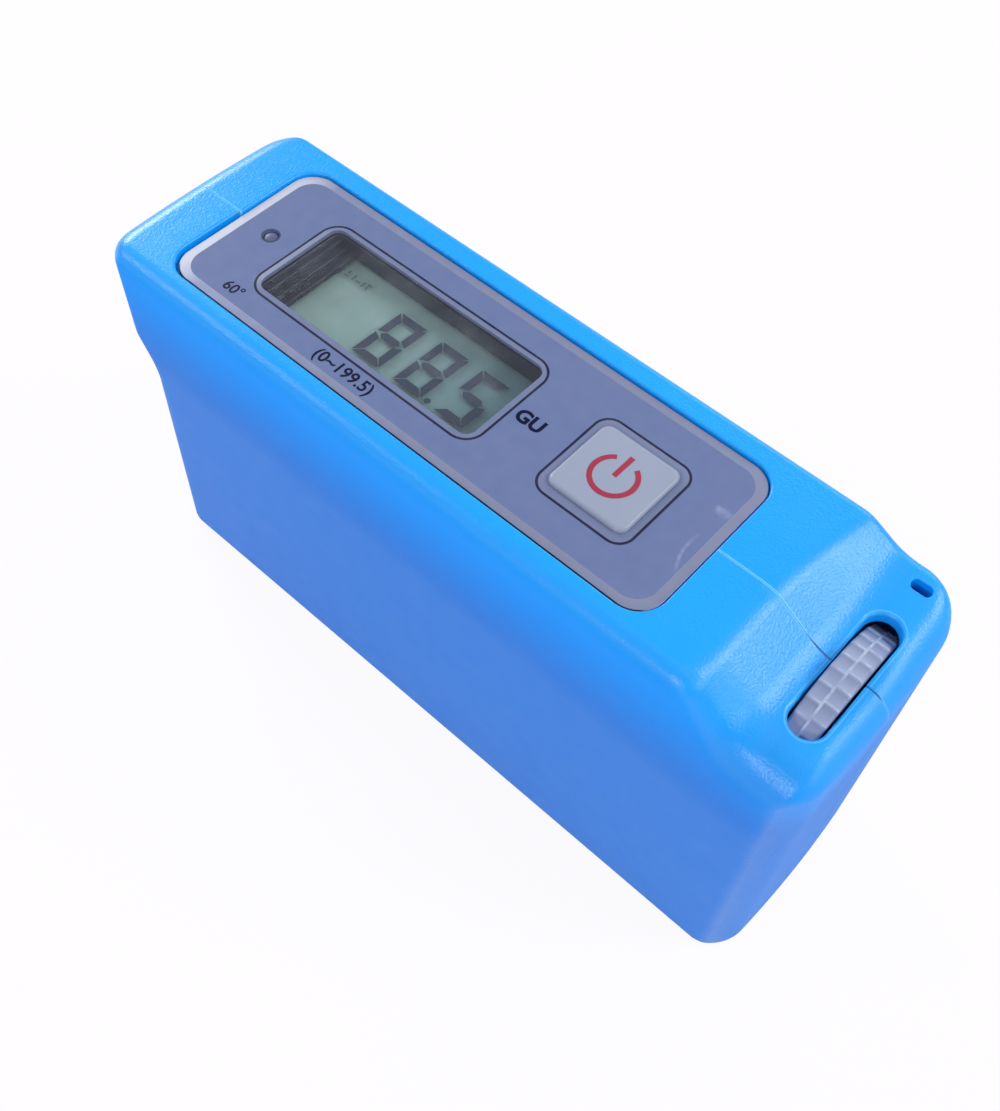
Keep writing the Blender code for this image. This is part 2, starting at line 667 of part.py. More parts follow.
def merged(objects):
    """One object out of several that lie apart from each other."""
    work = bmesh.new()
    for obj in objects:
        obj.rotation_mode = "XYZ"
        matrix = Matrix.LocRotScale(obj.location, obj.rotation_euler, None)
        mesh = obj.data.copy()
        mesh.transform(matrix)
        work.from_mesh(mesh)
        bpy.data.objects.remove(obj, do_unlink=True)
    return bmesh_object("group", work)


# Case shells
def case_half(side):
    """Closed hollow half of the case, lofted through its sections, with a tongue or its rebate."""
    rings = []
    lip = -TONGUE_REACH if side < 0 else TONGUE_REACH + SEAT
    share = TONGUE_SHARE if side < 0 else TONGUE_SHARE - SEAT / SIDE_WALL
    outer_angles = [0, 17, 34, 50, 64, 77, 90]
    inner_angles = [0, 30, 60, 90]
    widest = max(END_FILLET, *FILLETS[side])
    for depth in case_depths(SEAM / 2, HALF_WIDTH, widest, outer_angles):
        rings.append((depth, case_section(side, depth, 0.0)))
    inner = case_depths(lip, INNER_HALF, widest - LEDGE_WALL, inner_angles)
    for depth in reversed(inner):
        rings.append((depth, case_section(side, depth, 1.0)))
    for depth in (lip, SEAM / 2):
        rings.append((depth, case_section(side, depth, share)))
    work = bmesh.new()
    verts = [
        [work.verts.new((point.x, side * depth, point.y)) for point in outline]
        for depth, outline in rings
    ]
    outer_count = 1 + len(outer_angles)
    for row in range(len(verts)):
        if row == outer_count - 1:
            work.faces.new(verts[row])
            work.faces.new(verts[row + 1])
            continue
        lower = verts[row]
        upper = verts[(row + 1) % len(verts)]
        for i in range(len(lower)):
            j = (i + 1) % len(lower)
            work.faces.new((lower[i], lower[j], upper[j], upper[i]))
    bmesh.ops.recalc_face_normals(work, faces=work.faces)
    return bmesh_object("case_half", work)


def case_boss_places():
    """Screw places in the side view: two low at the ends, two high."""
    inset = END_CROWN + END_FILLET + CASE_HEAD_RADIUS + SCREW_PLAY + BOSS_EDGE
    high = BOARD_BOTTOM - BOSS_BOARD_GAP - CASE_BOSS_RADIUS
    return [
        (LEFT + max(FOOT_SETBACK, GRIP_SETBACK) + inset, BOSS_LOW),
        (RIGHT - inset, BOSS_LOW),
        (LEFT + GRIP_SETBACK + inset, high),
        (POT_LEFT - BOSS_POT_GAP - CASE_BOSS_RADIUS, high),
    ]


def board_screw_places():
    return board_post_places(-1)


def board_post_places(side):
    return [(LEFT_POST_X, side * BOARD_POST_Y), (RIGHT_POST_X, side * BOARD_POST_Y)]


def add_case_bosses(shell, side):
    reach = INNER_HALF + ROOT
    for x, z in case_boss_places():
        fuse(shell, rod(CASE_BOSS_RADIUS, (x, side * reach, z), (x, side * (SEAM / 2 + SEAT / 2), z), 20))


def add_board_posts(shell, side):
    top = CEILING + ROOT
    for x, y in board_post_places(side):
        fuse(shell, rod(BOARD_POST_RADIUS, (x, y, BOARD_TOP + SEAT), (x, y, top), 16))


def add_bracket_rails(shell, side):
    """Two upright ribs that hold the edge of the potentiometer's bracket."""
    low = WHEEL_Z - BRACKET_BELOW
    high = WHEEL_Z + BRACKET_ABOVE
    for x in (BRACKET_LEFT - SEAT - RAIL_WIDTH, BRACKET_RIGHT + SEAT):
        near = side * (INNER_HALF - RAIL_HEIGHT)
        far = side * (INNER_HALF + ROOT)
        fuse(shell, span_box((x, min(near, far), low), (x + RAIL_WIDTH, max(near, far), high)))


def top_cutters():
    """What both shells have cut through their top: the recess, the openings and the slot."""
    above = CASE_HEIGHT + MARGIN
    below = CEILING - MARGIN
    recess = flat_piece(
        [rounded_rectangle(
            LABEL_LENGTH + 2 * SEAT, LABEL_WIDTH + 2 * SEAT, LABEL_ROUNDING + SEAT, 5, (LABEL_CENTRE_X, 0),
        )],
        RECESS_FLOOR, above,
    )
    window = flat_piece(
        [rounded_rectangle(
            COLLAR_LENGTH + 2 * SEAT, COLLAR_WIDTH + 2 * SEAT, WINDOW_ROUNDING, 3, (WINDOW_CENTRE_X, 0),
        )],
        below, above,
    )
    key = flat_piece(
        [rounded_rectangle(KEY_SIZE + 2 * RUNNING, KEY_SIZE + 2 * RUNNING, KEY_ROUNDING, 3, (KEY_X, 0))],
        below, above,
    )
    indicator = rod(INDICATOR_RADIUS + SEAT, (INDICATOR_X, 0, below), (INDICATOR_X, 0, above), 16)
    slot = flat_piece(
        [rounded_rectangle(SLOT_WIDTH, SLOT_LENGTH, SLOT_WIDTH / 2, 6, (SLOT_X, SLOT_SHIFT))],
        LEDGE_TOP - LEDGE_WALL - LEDGE_FILLET, above,
    )
    return [recess, window, key, indicator, slot]


def floor_cutter():
    return flat_piece(
        [rounded_rectangle(BASE_LENGTH + 2 * SEAT, BASE_WIDTH + 2 * SEAT, BASE_ROUNDING + SEAT, 4)],
        CASE_FLOOR - MARGIN, BASE_FLANGE_LOW + BASE_FLANGE_THICK / 2,
    )


def make_front_shell():
    shell = as_part(case_half(-1), "front_shell", "case_blue")
    add_case_bosses(shell, -1)
    add_board_posts(shell, -1)
    add_bracket_rails(shell, -1)
    for tool in top_cutters() + [floor_cutter()]:
        cut(shell, tool)
    for x, z in case_boss_places():
        bore = CASE_SCREW_RADIUS + SCREW_PLAY
        end = -(CASE_SCREW_BITE + SEAT)
        cut(shell, rod(bore, (x, MARGIN, z), (x, end, z), 16))
    for x, y in board_screw_places():
        top = BOARD_TOP + SMALL_SCREW_BITE + 2 * SEAT
        cut(shell, rod(SMALL_SCREW_RADIUS + SCREW_PLAY, (x, y, BOARD_TOP - MARGIN), (x, y, top), 12))
    return shell


def door_cutters():
    """Pocket for the battery door, the opening behind it, and the two tab slots."""
    pocket = span_box(
        (-DOOR_LENGTH / 2 - SEAT, LEDGE_FACE, BATTERY_Z - DOOR_HEIGHT / 2 - SEAT),
        (DOOR_LENGTH / 2 + SEAT, HALF_WIDTH + MARGIN, BATTERY_Z + DOOR_HEIGHT / 2 + SEAT),
    )
    opening = span_box(
        (-OPENING_LENGTH / 2, PAD_INNER - MARGIN, BATTERY_Z - OPENING_HEIGHT / 2),
        (OPENING_LENGTH / 2, HALF_WIDTH + MARGIN, BATTERY_Z + OPENING_HEIGHT / 2),
    )
    tools = [pocket, opening]
    for z in (BATTERY_Z - TAB_SPREAD / 2, BATTERY_Z + TAB_SPREAD / 2):
        tools.append(span_box(
            (-DOOR_LENGTH / 2 - TAB_REACH - SEAT, PAD_INNER - MARGIN, z - TAB_WIDTH / 2 - SEAT),
            (-OPENING_LENGTH / 2 + MARGIN, LEDGE_FACE, z + TAB_WIDTH / 2 + SEAT),
        ))
    return tools


def strap_cutters():
    """Oval upper hole in the ledge and the round lower one in the back."""
    x = RIGHT - STRAP_INSET
    z = LEDGE_TOP - STRAP_DROP - STRAP_RADIUS
    upper = flat_piece(
        [rounded_rectangle(STRAP_LENGTH, STRAP_WIDTH, STRAP_WIDTH / 2, 4, (x, HALF_WIDTH - STRAP_SIDE))],
        z, CASE_HEIGHT + MARGIN,
    )
    lower = rod(STRAP_RADIUS, (x, HALF_WIDTH + MARGIN, z), (x, INNER_HALF - SIDE_WALL, z), 16)
    return [upper, lower]


def make_rear_shell():
    shell = as_part(case_half(1), "rear_shell", "case_blue")
    add_case_bosses(shell, 1)
    add_board_posts(shell, 1)
    add_bracket_rails(shell, 1)
    pad = span_box(
        (
            -DOOR_LENGTH / 2 - TAB_REACH - DOOR_PAD_REACH,
            PAD_INNER,
            BATTERY_Z - DOOR_HEIGHT / 2 - DOOR_PAD_REACH / 2,
        ),
        (
            DOOR_LENGTH / 2 + DOOR_PAD_REACH / 2,
            INNER_HALF + ROOT,
            BATTERY_Z + DOOR_HEIGHT / 2 + DOOR_PAD_REACH / 2,
        ),
    )
    fuse(shell, pad)
    for tool in top_cutters() + [floor_cutter()] + door_cutters() + strap_cutters():
        cut(shell, tool)
    head_floor = HALF_WIDTH - CASE_HEAD_SINK - CASE_HEAD_THICK - SEAT
    for x, z in case_boss_places():
        cut(shell, rod(CASE_SCREW_RADIUS + SCREW_PLAY, (x, -MARGIN, z), (x, HALF_WIDTH, z), 16))
        cut(shell, rod(CASE_HEAD_RADIUS + SCREW_PLAY, (x, head_floor, z), (x, HALF_WIDTH + MARGIN, z), 20))
    return shell


# Screws
def cross_outline(reach):
    """Outline of a cross recess whose arms are a quarter as wide as they are long."""
    half = reach / 4
    arm = [Vector((half, half)), Vector((reach, half)), Vector((reach, -half))]
    outline = []
    for quarter in range(4):
        turn = Matrix.Rotation(-quarter * math.pi / 2, 2)
        outline += [turn @ point for point in arm]
    return outline


def screw(name, head_radius, head_thick, shank_radius, shank_length, location, rotation):
    """Pan head screw along Z with its head's underside at the origin and its shank below."""
    top = head_thick
    body = as_part(turned([
        (0, top),
        (head_radius * HEAD_FLAT, top),
        (head_radius, top * HEAD_SIDE),
        (head_radius, 0),
        (shank_radius, 0),
        (shank_radius, -shank_length + shank_radius),
        (0, -shank_length),
    ], 12), name, "steel")
    depth = head_thick * DRIVE_DEPTH
    drive = flat_piece([cross_outline(head_radius * DRIVE_RADIUS)], top - depth, top + depth)
    drive.parent = body
    cut(body, drive)
    return place(body, location, rotation)


def make_case_screws():
    under_head = HALF_WIDTH - CASE_HEAD_SINK - CASE_HEAD_THICK
    for i, (x, z) in enumerate(case_boss_places()):
        screw(
            f"case_screw_{i + 1}", CASE_HEAD_RADIUS, CASE_HEAD_THICK, CASE_SCREW_RADIUS,
            under_head + CASE_SCREW_BITE, (x, under_head, z), (math.radians(-90), 0, 0),
        )


def make_board_screws():
    for i, (x, y) in enumerate(board_screw_places()):
        screw(
            f"board_screw_{i + 1}", SMALL_HEAD_RADIUS, SMALL_HEAD_THICK, SMALL_SCREW_RADIUS,
            BOARD_THICK + SEAT + SMALL_SCREW_BITE, (x, y, BOARD_BOTTOM - SEAT), (math.radians(180), 0, 0),
        )


def optics_screw_places():
    return [
        (a * OPTICS_SCREW_X, b * OPTICS_SCREW_Y)
        for a, b in ((-1, -1), (1, -1), (1, 1), (-1, 1))
    ]


def make_optics_screws():
    under_head = SMALL_HEAD_THICK + SEAT
    for i, (x, y) in enumerate(optics_screw_places()):
        screw(
            f"optics_screw_{i + 1}", SMALL_HEAD_RADIUS, SMALL_HEAD_THICK, SMALL_SCREW_RADIUS,
            BLOCK_FLOOR - under_head + OPTICS_SCREW_BITE, (x, y, under_head), (math.radians(180), 0, 0),
        )


# Face
def make_face_label():
    outline = rounded_rectangle(LABEL_LENGTH, LABEL_WIDTH, LABEL_ROUNDING, 6, (LABEL_CENTRE_X, 0))
    window = rounded_rectangle(
        WINDOW_LENGTH + 2 * SEAT, WINDOW_WIDTH + 2 * SEAT, WINDOW_ROUNDING + SEAT, 4, (WINDOW_CENTRE_X, 0),
    )
    key_hole = rounded_rectangle(
        KEY_SIZE + 2 * RUNNING, KEY_SIZE + 2 * RUNNING, KEY_ROUNDING + RUNNING, 3, (KEY_X, 0),
    )
    reach = 2 * (INDICATOR_RADIUS + SEAT)
    eye = rounded_rectangle(reach, reach, reach / 2, 4, (INDICATOR_X, 0))
    label = flat_piece([outline, window, key_hole, eye], LABEL_TOP - LABEL_THICK, LABEL_TOP)
    return as_part(label, "face_label", "label_grey")


def make_display_window():
    outline = rounded_rectangle(WINDOW_LENGTH, WINDOW_WIDTH, WINDOW_ROUNDING, 4, (WINDOW_CENTRE_X, 0))
    window = flat_piece([outline], LABEL_TOP - WINDOW_THICK, LABEL_TOP)
    return as_part(window, "display_window", "clear_plastic")


def make_display_bezel():
    """Frame that holds the display under the top, with a stepped collar up into the opening."""
    inner_length = COLLAR_LENGTH - 2 * BEZEL_COLLAR
    inner_width = COLLAR_WIDTH - 2 * BEZEL_COLLAR
    frame_top = CEILING - SEAT
    collar_top = LABEL_TOP - WINDOW_THICK - SEAT
    centre = (WINDOW_CENTRE_X, 0)
    frame = flat_piece(
        [rounded_rectangle(BEZEL_LENGTH, BEZEL_WIDTH, BEZEL_RIM, 3, centre)], DISPLAY_BOTTOM, frame_top,
    )
    as_part(frame, "display_bezel", "black_plastic")
    fuse(frame, flat_piece(
        [rounded_rectangle(COLLAR_LENGTH, COLLAR_WIDTH, WINDOW_ROUNDING - SEAT, 3, centre)],
        frame_top - BEZEL_FLANGE_THICK / 2, collar_top,
    ))
    cut(frame, flat_piece(
        [rounded_rectangle(DISPLAY_LENGTH + 2 * SEAT, DISPLAY_WIDTH + 2 * SEAT, SHARP_ROUNDING, 2, centre)],
        DISPLAY_BOTTOM - MARGIN, DISPLAY_TOP + SEAT,
    ))
    cut(frame, flat_piece(
        [rounded_rectangle(inner_length, inner_width, BEZEL_COLLAR, 3, centre)],
        DISPLAY_BOTTOM - MARGIN, collar_top + MARGIN,
    ))
    wall = BEZEL_COLLAR / 2
    left = WINDOW_CENTRE_X - inner_length / 2
    for k in range(BEZEL_TIERS):
        fuse(frame, span_box(
            (left - wall, -inner_width / 2 - wall, DISPLAY_TOP + SEAT),
            (left + (k + 1) * TIER_REACH, inner_width / 2 + wall, LABEL_TOP - TIER_DROP - k * TIER_RISE),
        ))
    return frame


def make_display():
    panel = span_box(
        (WINDOW_CENTRE_X - DISPLAY_LENGTH / 2, -DISPLAY_WIDTH / 2, DISPLAY_BOTTOM),
        (WINDOW_CENTRE_X + DISPLAY_LENGTH / 2, DISPLAY_WIDTH / 2, DISPLAY_TOP),
    )
    as_part(panel, "display_panel", "display_glass")
    for name, side in (("front_contact_strip", -1), ("rear_contact_strip", 1)):
        y = side * (DISPLAY_WIDTH - STRIP_WIDTH) / 2
        strip = box(
            (DISPLAY_LENGTH - 2 * STRIP_SHORT, STRIP_WIDTH, STRIP_HEIGHT),
            (WINDOW_CENTRE_X, y, BOARD_TOP + SEAT + STRIP_HEIGHT / 2),
        )
        as_part(strip, name, "rubber")


def make_power_key():
    """Square cap with a retaining flange under the top and a stem down to the switch."""
    top = LABEL_TOP + KEY_PROUD
    flange_top = CEILING - RUNNING
    flange_low = flange_top - KEY_FLANGE_THICK
    cap = flat_piece(
        [rounded_rectangle(KEY_SIZE, KEY_SIZE, KEY_ROUNDING, 4, (0, 0))],
        flange_top - KEY_FLANGE_THICK / 2, top,
    )
    edge = cap.modifiers.new("edge", "BEVEL")
    edge.width = KEY_BEVEL
    edge.segments = 2
    edge.limit_method = "ANGLE"
    edge.angle_limit = BEVEL_LIMIT
    key = as_part(cap, "power_key", "key_grey")
    fuse(key, flat_piece(
        [rounded_rectangle(KEY_FLANGE_SIZE, KEY_FLANGE_SIZE, KEY_ROUNDING, 3, (KEY_X, 0))],
        flange_low, flange_top,
    ))
    fuse(key, rod(
        KEY_STEM_RADIUS,
        (KEY_X, 0, plunger_top() + SEAT), (KEY_X, 0, flange_low + KEY_FLANGE_THICK / 2), 20,
    ))
    key.location.x = KEY_X
    return key


def switch_low():
    return BOARD_TOP + SEAT


def plunger_top():
    return switch_low() + SWITCH_HEIGHT + PLUNGER_PROUD


def make_key_switch():
    low = switch_low()
    body = box(
        (SWITCH_SIZE, SWITCH_SIZE, SWITCH_HEIGHT), (KEY_X, 0, low + SWITCH_HEIGHT / 2), PACKAGE_BEVEL, 1,
    )
    as_part(body, "switch_body", "chip_black")
    bore_floor = low + SWITCH_HEIGHT - PLUNGER_SUNK - KEY_TRAVEL - SEAT
    cut(body, rod(
        PLUNGER_RADIUS + RUNNING, (KEY_X, 0, bore_floor), (KEY_X, 0, low + SWITCH_HEIGHT + MARGIN), 20,
    ))
    plunger = turned([
        (0, 0),
        (PLUNGER_RADIUS - KEY_TRAVEL / 2, 0),
        (PLUNGER_RADIUS, -KEY_TRAVEL / 2),
        (PLUNGER_RADIUS, -PLUNGER_PROUD - PLUNGER_SUNK),
        (0, -PLUNGER_PROUD - PLUNGER_SUNK),
    ], 20)
    as_part(plunger, "switch_plunger", "key_grey")
    place(plunger, (KEY_X, 0, plunger_top()))


def make_indicator():
    """Light guide with a domed end in the label and a collar under the top, over its diode."""
    top = LABEL_TOP - INDICATOR_SINK
    collar_top = CEILING - SEAT
    low = BOARD_TOP + SEAT + DIODE_THICK + SEAT
    guide = turned(dome_profile(INDICATOR_RADIUS, INDICATOR_DOME, top, 3) + [
        (INDICATOR_RADIUS, collar_top),
        (INDICATOR_RADIUS + INDICATOR_COLLAR, collar_top),
        (INDICATOR_RADIUS + INDICATOR_COLLAR, collar_top - INDICATOR_COLLAR_THICK),
        (INDICATOR_RADIUS, collar_top - INDICATOR_COLLAR_THICK),
        (INDICATOR_RADIUS, low),
        (0, low),
    ], 14)
    as_part(guide, "indicator_lens", "clear_plastic")
    place(guide, (INDICATOR_X, 0, 0))
    diode = box(
        (DIODE_LENGTH, DIODE_WIDTH, DIODE_THICK), (INDICATOR_X, 0, BOARD_TOP + SEAT + DIODE_THICK / 2),
    )
    as_part(diode, "indicator_diode", "clear_plastic")


def make_board():
    centre = ((BOARD_LEFT + BOARD_RIGHT) / 2, 0)
    outline = rounded_rectangle(BOARD_RIGHT - BOARD_LEFT, BOARD_WIDTH, BOARD_ROUNDING, 2, centre)
    holes = []
    reach = 2 * (SMALL_SCREW_RADIUS + SCREW_PLAY)
    for x, y in board_screw_places():
        holes.append(rounded_rectangle(reach, reach, reach / 2, 3, (x, y)))
    board = flat_piece([outline] + holes, BOARD_BOTTOM, BOARD_TOP)
    as_part(board, "main_board", "board_green")
    z = BOARD_BOTTOM - SEAT - CHIP_THICK / 2
    controller = box(
        (CONTROLLER_SIZE, CONTROLLER_SIZE, CHIP_THICK), (WINDOW_CENTRE_X, 0, z), PACKAGE_BEVEL, 1,
    )
    as_part(controller, "controller_chip", "chip_black")
    amplifier = box(
        (AMPLIFIER_LENGTH, AMPLIFIER_WIDTH, CHIP_THICK),
        (WINDOW_CENTRE_X + CHIP_SHIFT, 0, z), PACKAGE_BEVEL, 1,
    )
    as_part(amplifier, "amplifier_chip", "chip_black")


# Calibration wheel
def make_calibration_wheel():
    """Wheel on the potentiometer's shaft, with staggered pads round its rim."""
    half = WHEEL_THICK / 2
    web = WHEEL_WEB - half
    inner_rim = WHEEL_RADIUS - WHEEL_RIM
    bore = SHAFT_RADIUS + SEAT
    crown = WHEEL_GROOVE_DEPTH
    wheel = turned([
        (bore, half),
        (WHEEL_HUB_RADIUS, half),
        (WHEEL_HUB_RADIUS, web),
        (inner_rim, web),
        (inner_rim, half),
        (WHEEL_RADIUS - crown, half),
        (WHEEL_RADIUS, half - crown),
        (WHEEL_RADIUS, -half + crown),
        (WHEEL_RADIUS - crown, -half),
        (bore, -half),
        (bore, half),
    ], WHEEL_PADS)
    as_part(wheel, "calibration_wheel", "wheel_grey")
    pads = []
    for row, low in ((0, 0.0), (1, -half - MARGIN)):
        for k in range(WHEEL_PADS):
            angle = 2 * math.pi * (k + row / 2) / WHEEL_PADS
            size = (2 * WHEEL_GROOVE_DEPTH, WHEEL_GROOVE_WIDTH, half + MARGIN)
            groove = box(size, (0, 0, 0))
            groove.rotation_euler = (0, 0, angle)
            groove.location = (
                WHEEL_RADIUS * math.cos(angle), WHEEL_RADIUS * math.sin(angle), low + (half + MARGIN) / 2,
            )
            pads.append(groove)
    grooves = merged(pads)
    grooves.parent = wheel
    cut(wheel, grooves)
    return place(wheel, (SLOT_X, SLOT_SHIFT, WHEEL_Z), (0, math.radians(90), 0))


def make_potentiometer():
    """Body, shaft, nut and bracket on the wheel's axis, all left of the wheel."""
    axle = bpy.data.objects.new("wheel_axis", None)
    CUTTERS.objects.link(axle)
    place(axle, (SLOT_X, SLOT_SHIFT, WHEEL_Z), (0, math.radians(90), 0))
    wheel_left = -WHEEL_THICK / 2
    nut_high = wheel_left - SEAT
    nut_low = nut_high - POT_NUT_THICK
    bracket_high = BRACKET_RIGHT - SLOT_X
    body_high = POT_RIGHT - SLOT_X
    body_low = body_high - POT_LENGTH
    bush_bore = SHAFT_RADIUS + SEAT
    floor = body_low + POT_FLOOR
    body = turned([
        (0, floor),
        (bush_bore, floor),
        (bush_bore, bracket_high + POT_NUT_THICK / 2),
        (POT_BUSH_RADIUS, bracket_high + POT_NUT_THICK / 2),
        (POT_BUSH_RADIUS, body_high),
        (POT_RADIUS, body_high),
        (POT_RADIUS, body_low),
        (0, body_low),
    ], 24)
    as_part(body, "potentiometer", "black_plastic")
    body.parent = axle
    shaft = rod(SHAFT_RADIUS, (0, 0, floor + SEAT), (0, 0, WHEEL_THICK / 2 - SEAT), 24)
    as_part(shaft, "wheel_shaft", "steel")
    flat = span_box(
        (SHAFT_RADIUS - SHAFT_FLAT, -SHAFT_RADIUS - MARGIN, wheel_left),
        (SHAFT_RADIUS + MARGIN, SHAFT_RADIUS + MARGIN, WHEEL_THICK / 2 + MARGIN),
    )
    flat.parent = axle
    cut(shaft, flat)
    shaft.parent = axle
    nut = rod(POT_NUT_RADIUS, (0, 0, nut_low), (0, 0, nut_high), 6)
    as_part(nut, "potentiometer_nut", "brass")
    bore = rod(POT_BUSH_RADIUS + SEAT, (0, 0, nut_low - MARGIN), (0, 0, nut_high + MARGIN), 24)
    bore.parent = axle
    nut.parent = axle
    cut(nut, bore)
    gap = SEAT + END_CROWN / 4
    bracket = span_box(
        (BRACKET_LEFT, -INNER_HALF + gap, WHEEL_Z - BRACKET_BELOW),
        (BRACKET_RIGHT, INNER_HALF - gap, WHEEL_Z + BRACKET_ABOVE),
    )
    as_part(bracket, "potentiometer_bracket", "steel")
    cut(bracket, rod(
        POT_BUSH_RADIUS + SEAT,
        (BRACKET_LEFT - MARGIN, SLOT_SHIFT, WHEEL_Z),
        (BRACKET_RIGHT + MARGIN, SLOT_SHIFT, WHEEL_Z),
        24,
    ))


# Base and optics
def beam_point(side, along, up=0.0):
    """Point at a distance along a beam from the aperture, moved square to the beam."""
    return Vector((side * (along * BEAM.x - up * BEAM.z), 0, along * BEAM.z + up * BEAM.x))


def beam_axis(side):
    """Empty at the aperture whose Z runs up the beam on one side."""
    axis = bpy.data.objects.new("source_axis" if side < 0 else "receiver_axis", None)
    CUTTERS.objects.link(axis)
    return place(axis, (0, 0, 0), (0, side * BEAM_ANGLE, 0))


def aperture_cutter(top):
    """Straight well over the measuring aperture, from under the plate up to a height."""
    width = 2 * (BEAM_RADIUS + SEAT)
    return flat_piece([rounded_rectangle(APERTURE_LENGTH, width, width / 2, 6)], -MARGIN, top)


def make_base_plate():
    """Stepped plate, held captive by the shells' floor, with the measuring aperture."""
    plate = as_part(
        flat_piece(
            [rounded_rectangle(BASE_LENGTH, BASE_WIDTH, BASE_ROUNDING, 4)],
            0, BASE_FLANGE_LOW + BASE_FLANGE_THICK / 2, BASE_CHAMFER,
        ),
        "base_plate", "black_metal",
    )
    fuse(plate, flat_piece(
        [rounded_rectangle(BASE_LENGTH + 2 * BASE_STEP, BASE_WIDTH + 2 * BASE_STEP, BASE_ROUNDING, 4)],
        BASE_FLANGE_LOW, BASE_TOP,
    ))
    cut(plate, aperture_cutter(BASE_TOP + MARGIN))
    for side in (-1, 1):
        cut(plate, rod(
            BEAM_RADIUS + SEAT, beam_point(side, 0), beam_point(side, SHOULDER), 16,
        ))
    for x, y in optics_screw_places():
        cut(plate, rod(SMALL_SCREW_RADIUS + SCREW_PLAY, (x, y, -MARGIN), (x, y, BASE_TOP + MARGIN), 12))
        cut(plate, rod(
            SMALL_HEAD_RADIUS + SCREW_PLAY, (x, y, -MARGIN), (x, y, SMALL_HEAD_THICK + 2 * SEAT), 16,
        ))
    return plate


def make_optics_block():
    """Two arms at the beam angle on one foot, bored for the light and the lenses."""
    low_along = (BLOCK_FLOOR + ARM_HALF * BEAM.x) / BEAM.z
    apex = beam_point(1, ARM_HALF * BEAM.z / BEAM.x, ARM_HALF)
    foot = beam_point(1, low_along, -ARM_HALF)
    tip_low = beam_point(1, ARM_LENGTH, -ARM_HALF)
    tip_high = beam_point(1, ARM_LENGTH, ARM_HALF)
    right = [foot, tip_low, tip_high, apex]
    left = [Vector((-point.x, 0, point.z)) for point in (tip_high, tip_low, foot)]
    outline = [(point.x, -point.z) for point in right + left]
    block = flat_piece([outline], -ARM_WIDTH / 2, ARM_WIDTH / 2)
    block.rotation_euler = (math.radians(-90), 0, 0)
    as_part(block, "optics_block", "black_metal")
    edge = block.modifiers.new("edge", "BEVEL")
    edge.width = BASE_CHAMFER
    edge.segments = 1
    edge.limit_method = "ANGLE"
    edge.angle_limit = BEVEL_LIMIT
    cut(block, aperture_cutter(BLOCK_FLOOR + WELL_RISE))
    for side in (-1, 1):
        cut(block, rod(BEAM_RADIUS, beam_point(side, 0), beam_point(side, SHOULDER + MARGIN), 16))
        cut(block, rod(
            BARREL_RADIUS, beam_point(side, SHOULDER), beam_point(side, ARM_LENGTH + MARGIN), 16,
        ))
    for x, y in optics_screw_places():
        top = BLOCK_FLOOR + OPTICS_SCREW_BITE + SEAT
        cut(block, rod(SMALL_SCREW_RADIUS + SCREW_PLAY, (x, y, BLOCK_FLOOR - MARGIN), (x, y, top), 12))
    return block


def lens_height(share):
    """Height of the domed face at a share of the lens's radius."""
    return LENS_EDGE + (LENS_THICK - LENS_EDGE) * (1 - share ** 2)


def lens_profile(radius):
    """Flat back on the shoulder and a domed front, as radius and height."""
    steps = 4
    curve = [(radius * k / steps, lens_height(k / steps)) for k in range(steps + 1)]
    return curve + [(radius, 0), (0, 0)]


def make_light_path(side, names, stop_radius):
    """Lens, its ring and the stop of one beam."""
    axis = beam_axis(side)
    lens_name, ring_name, stop_name = names
    radius = BARREL_RADIUS - SEAT
    lens_low = SHOULDER + SEAT
    lens = as_part(turned(lens_profile(radius), 16), lens_name, "optical_glass")
    place(lens, (0, 0, lens_low), parent=axis)
    ring_low = lens_low + lens_height((radius - RING_WALL) / radius) + SEAT
    ring = as_part(
        turned(tube_profile(radius, radius - RING_WALL, RING_LENGTH), 16), ring_name, "black_metal",
    )
    place(ring, (0, 0, ring_low), parent=axis)
    stop = as_part(
        turned(tube_profile(radius, stop_radius, STOP_THICK), 16), stop_name, "black_metal",
    )
    place(stop, (0, 0, STOP_PLACE), parent=axis)
    return axis


def make_holder(name, axis, bore, finish_name):
    """Flanged plug in the end of an arm, bored for the lamp or the photodiode."""
    low = ARM_LENGTH - HOLDER_PLUG
    high = ARM_LENGTH + SEAT + HOLDER_FLANGE
    plug = BARREL_RADIUS - SEAT
    holder = turned([
        (bore, high),
        (ARM_HALF, high),
        (ARM_HALF, ARM_LENGTH + SEAT),
        (plug, ARM_LENGTH + SEAT),
        (plug, low),
        (bore, low),
        (bore, high),
    ], 16)
    as_part(holder, name, finish_name)
    holder.parent = axis


def make_source():
    axis = make_light_path(-1, ("source_lens", "source_lens_ring", "source_stop"), SOURCE_STOP_RADIUS)
    make_holder("lamp_holder", axis, LAMP_RADIUS + SEAT, "black_plastic")
    lamp = turned(dome_profile(LAMP_RADIUS, LAMP_RADIUS, LAMP_RADIUS, 3) + [
        (LAMP_RADIUS, -LAMP_LENGTH),
        (0, -LAMP_LENGTH),
    ], 16)
    as_part(lamp, "lamp", "optical_glass")
    place(lamp, (0, 0, ARM_LENGTH - HOLDER_PLUG), (math.radians(180), 0, 0), axis)


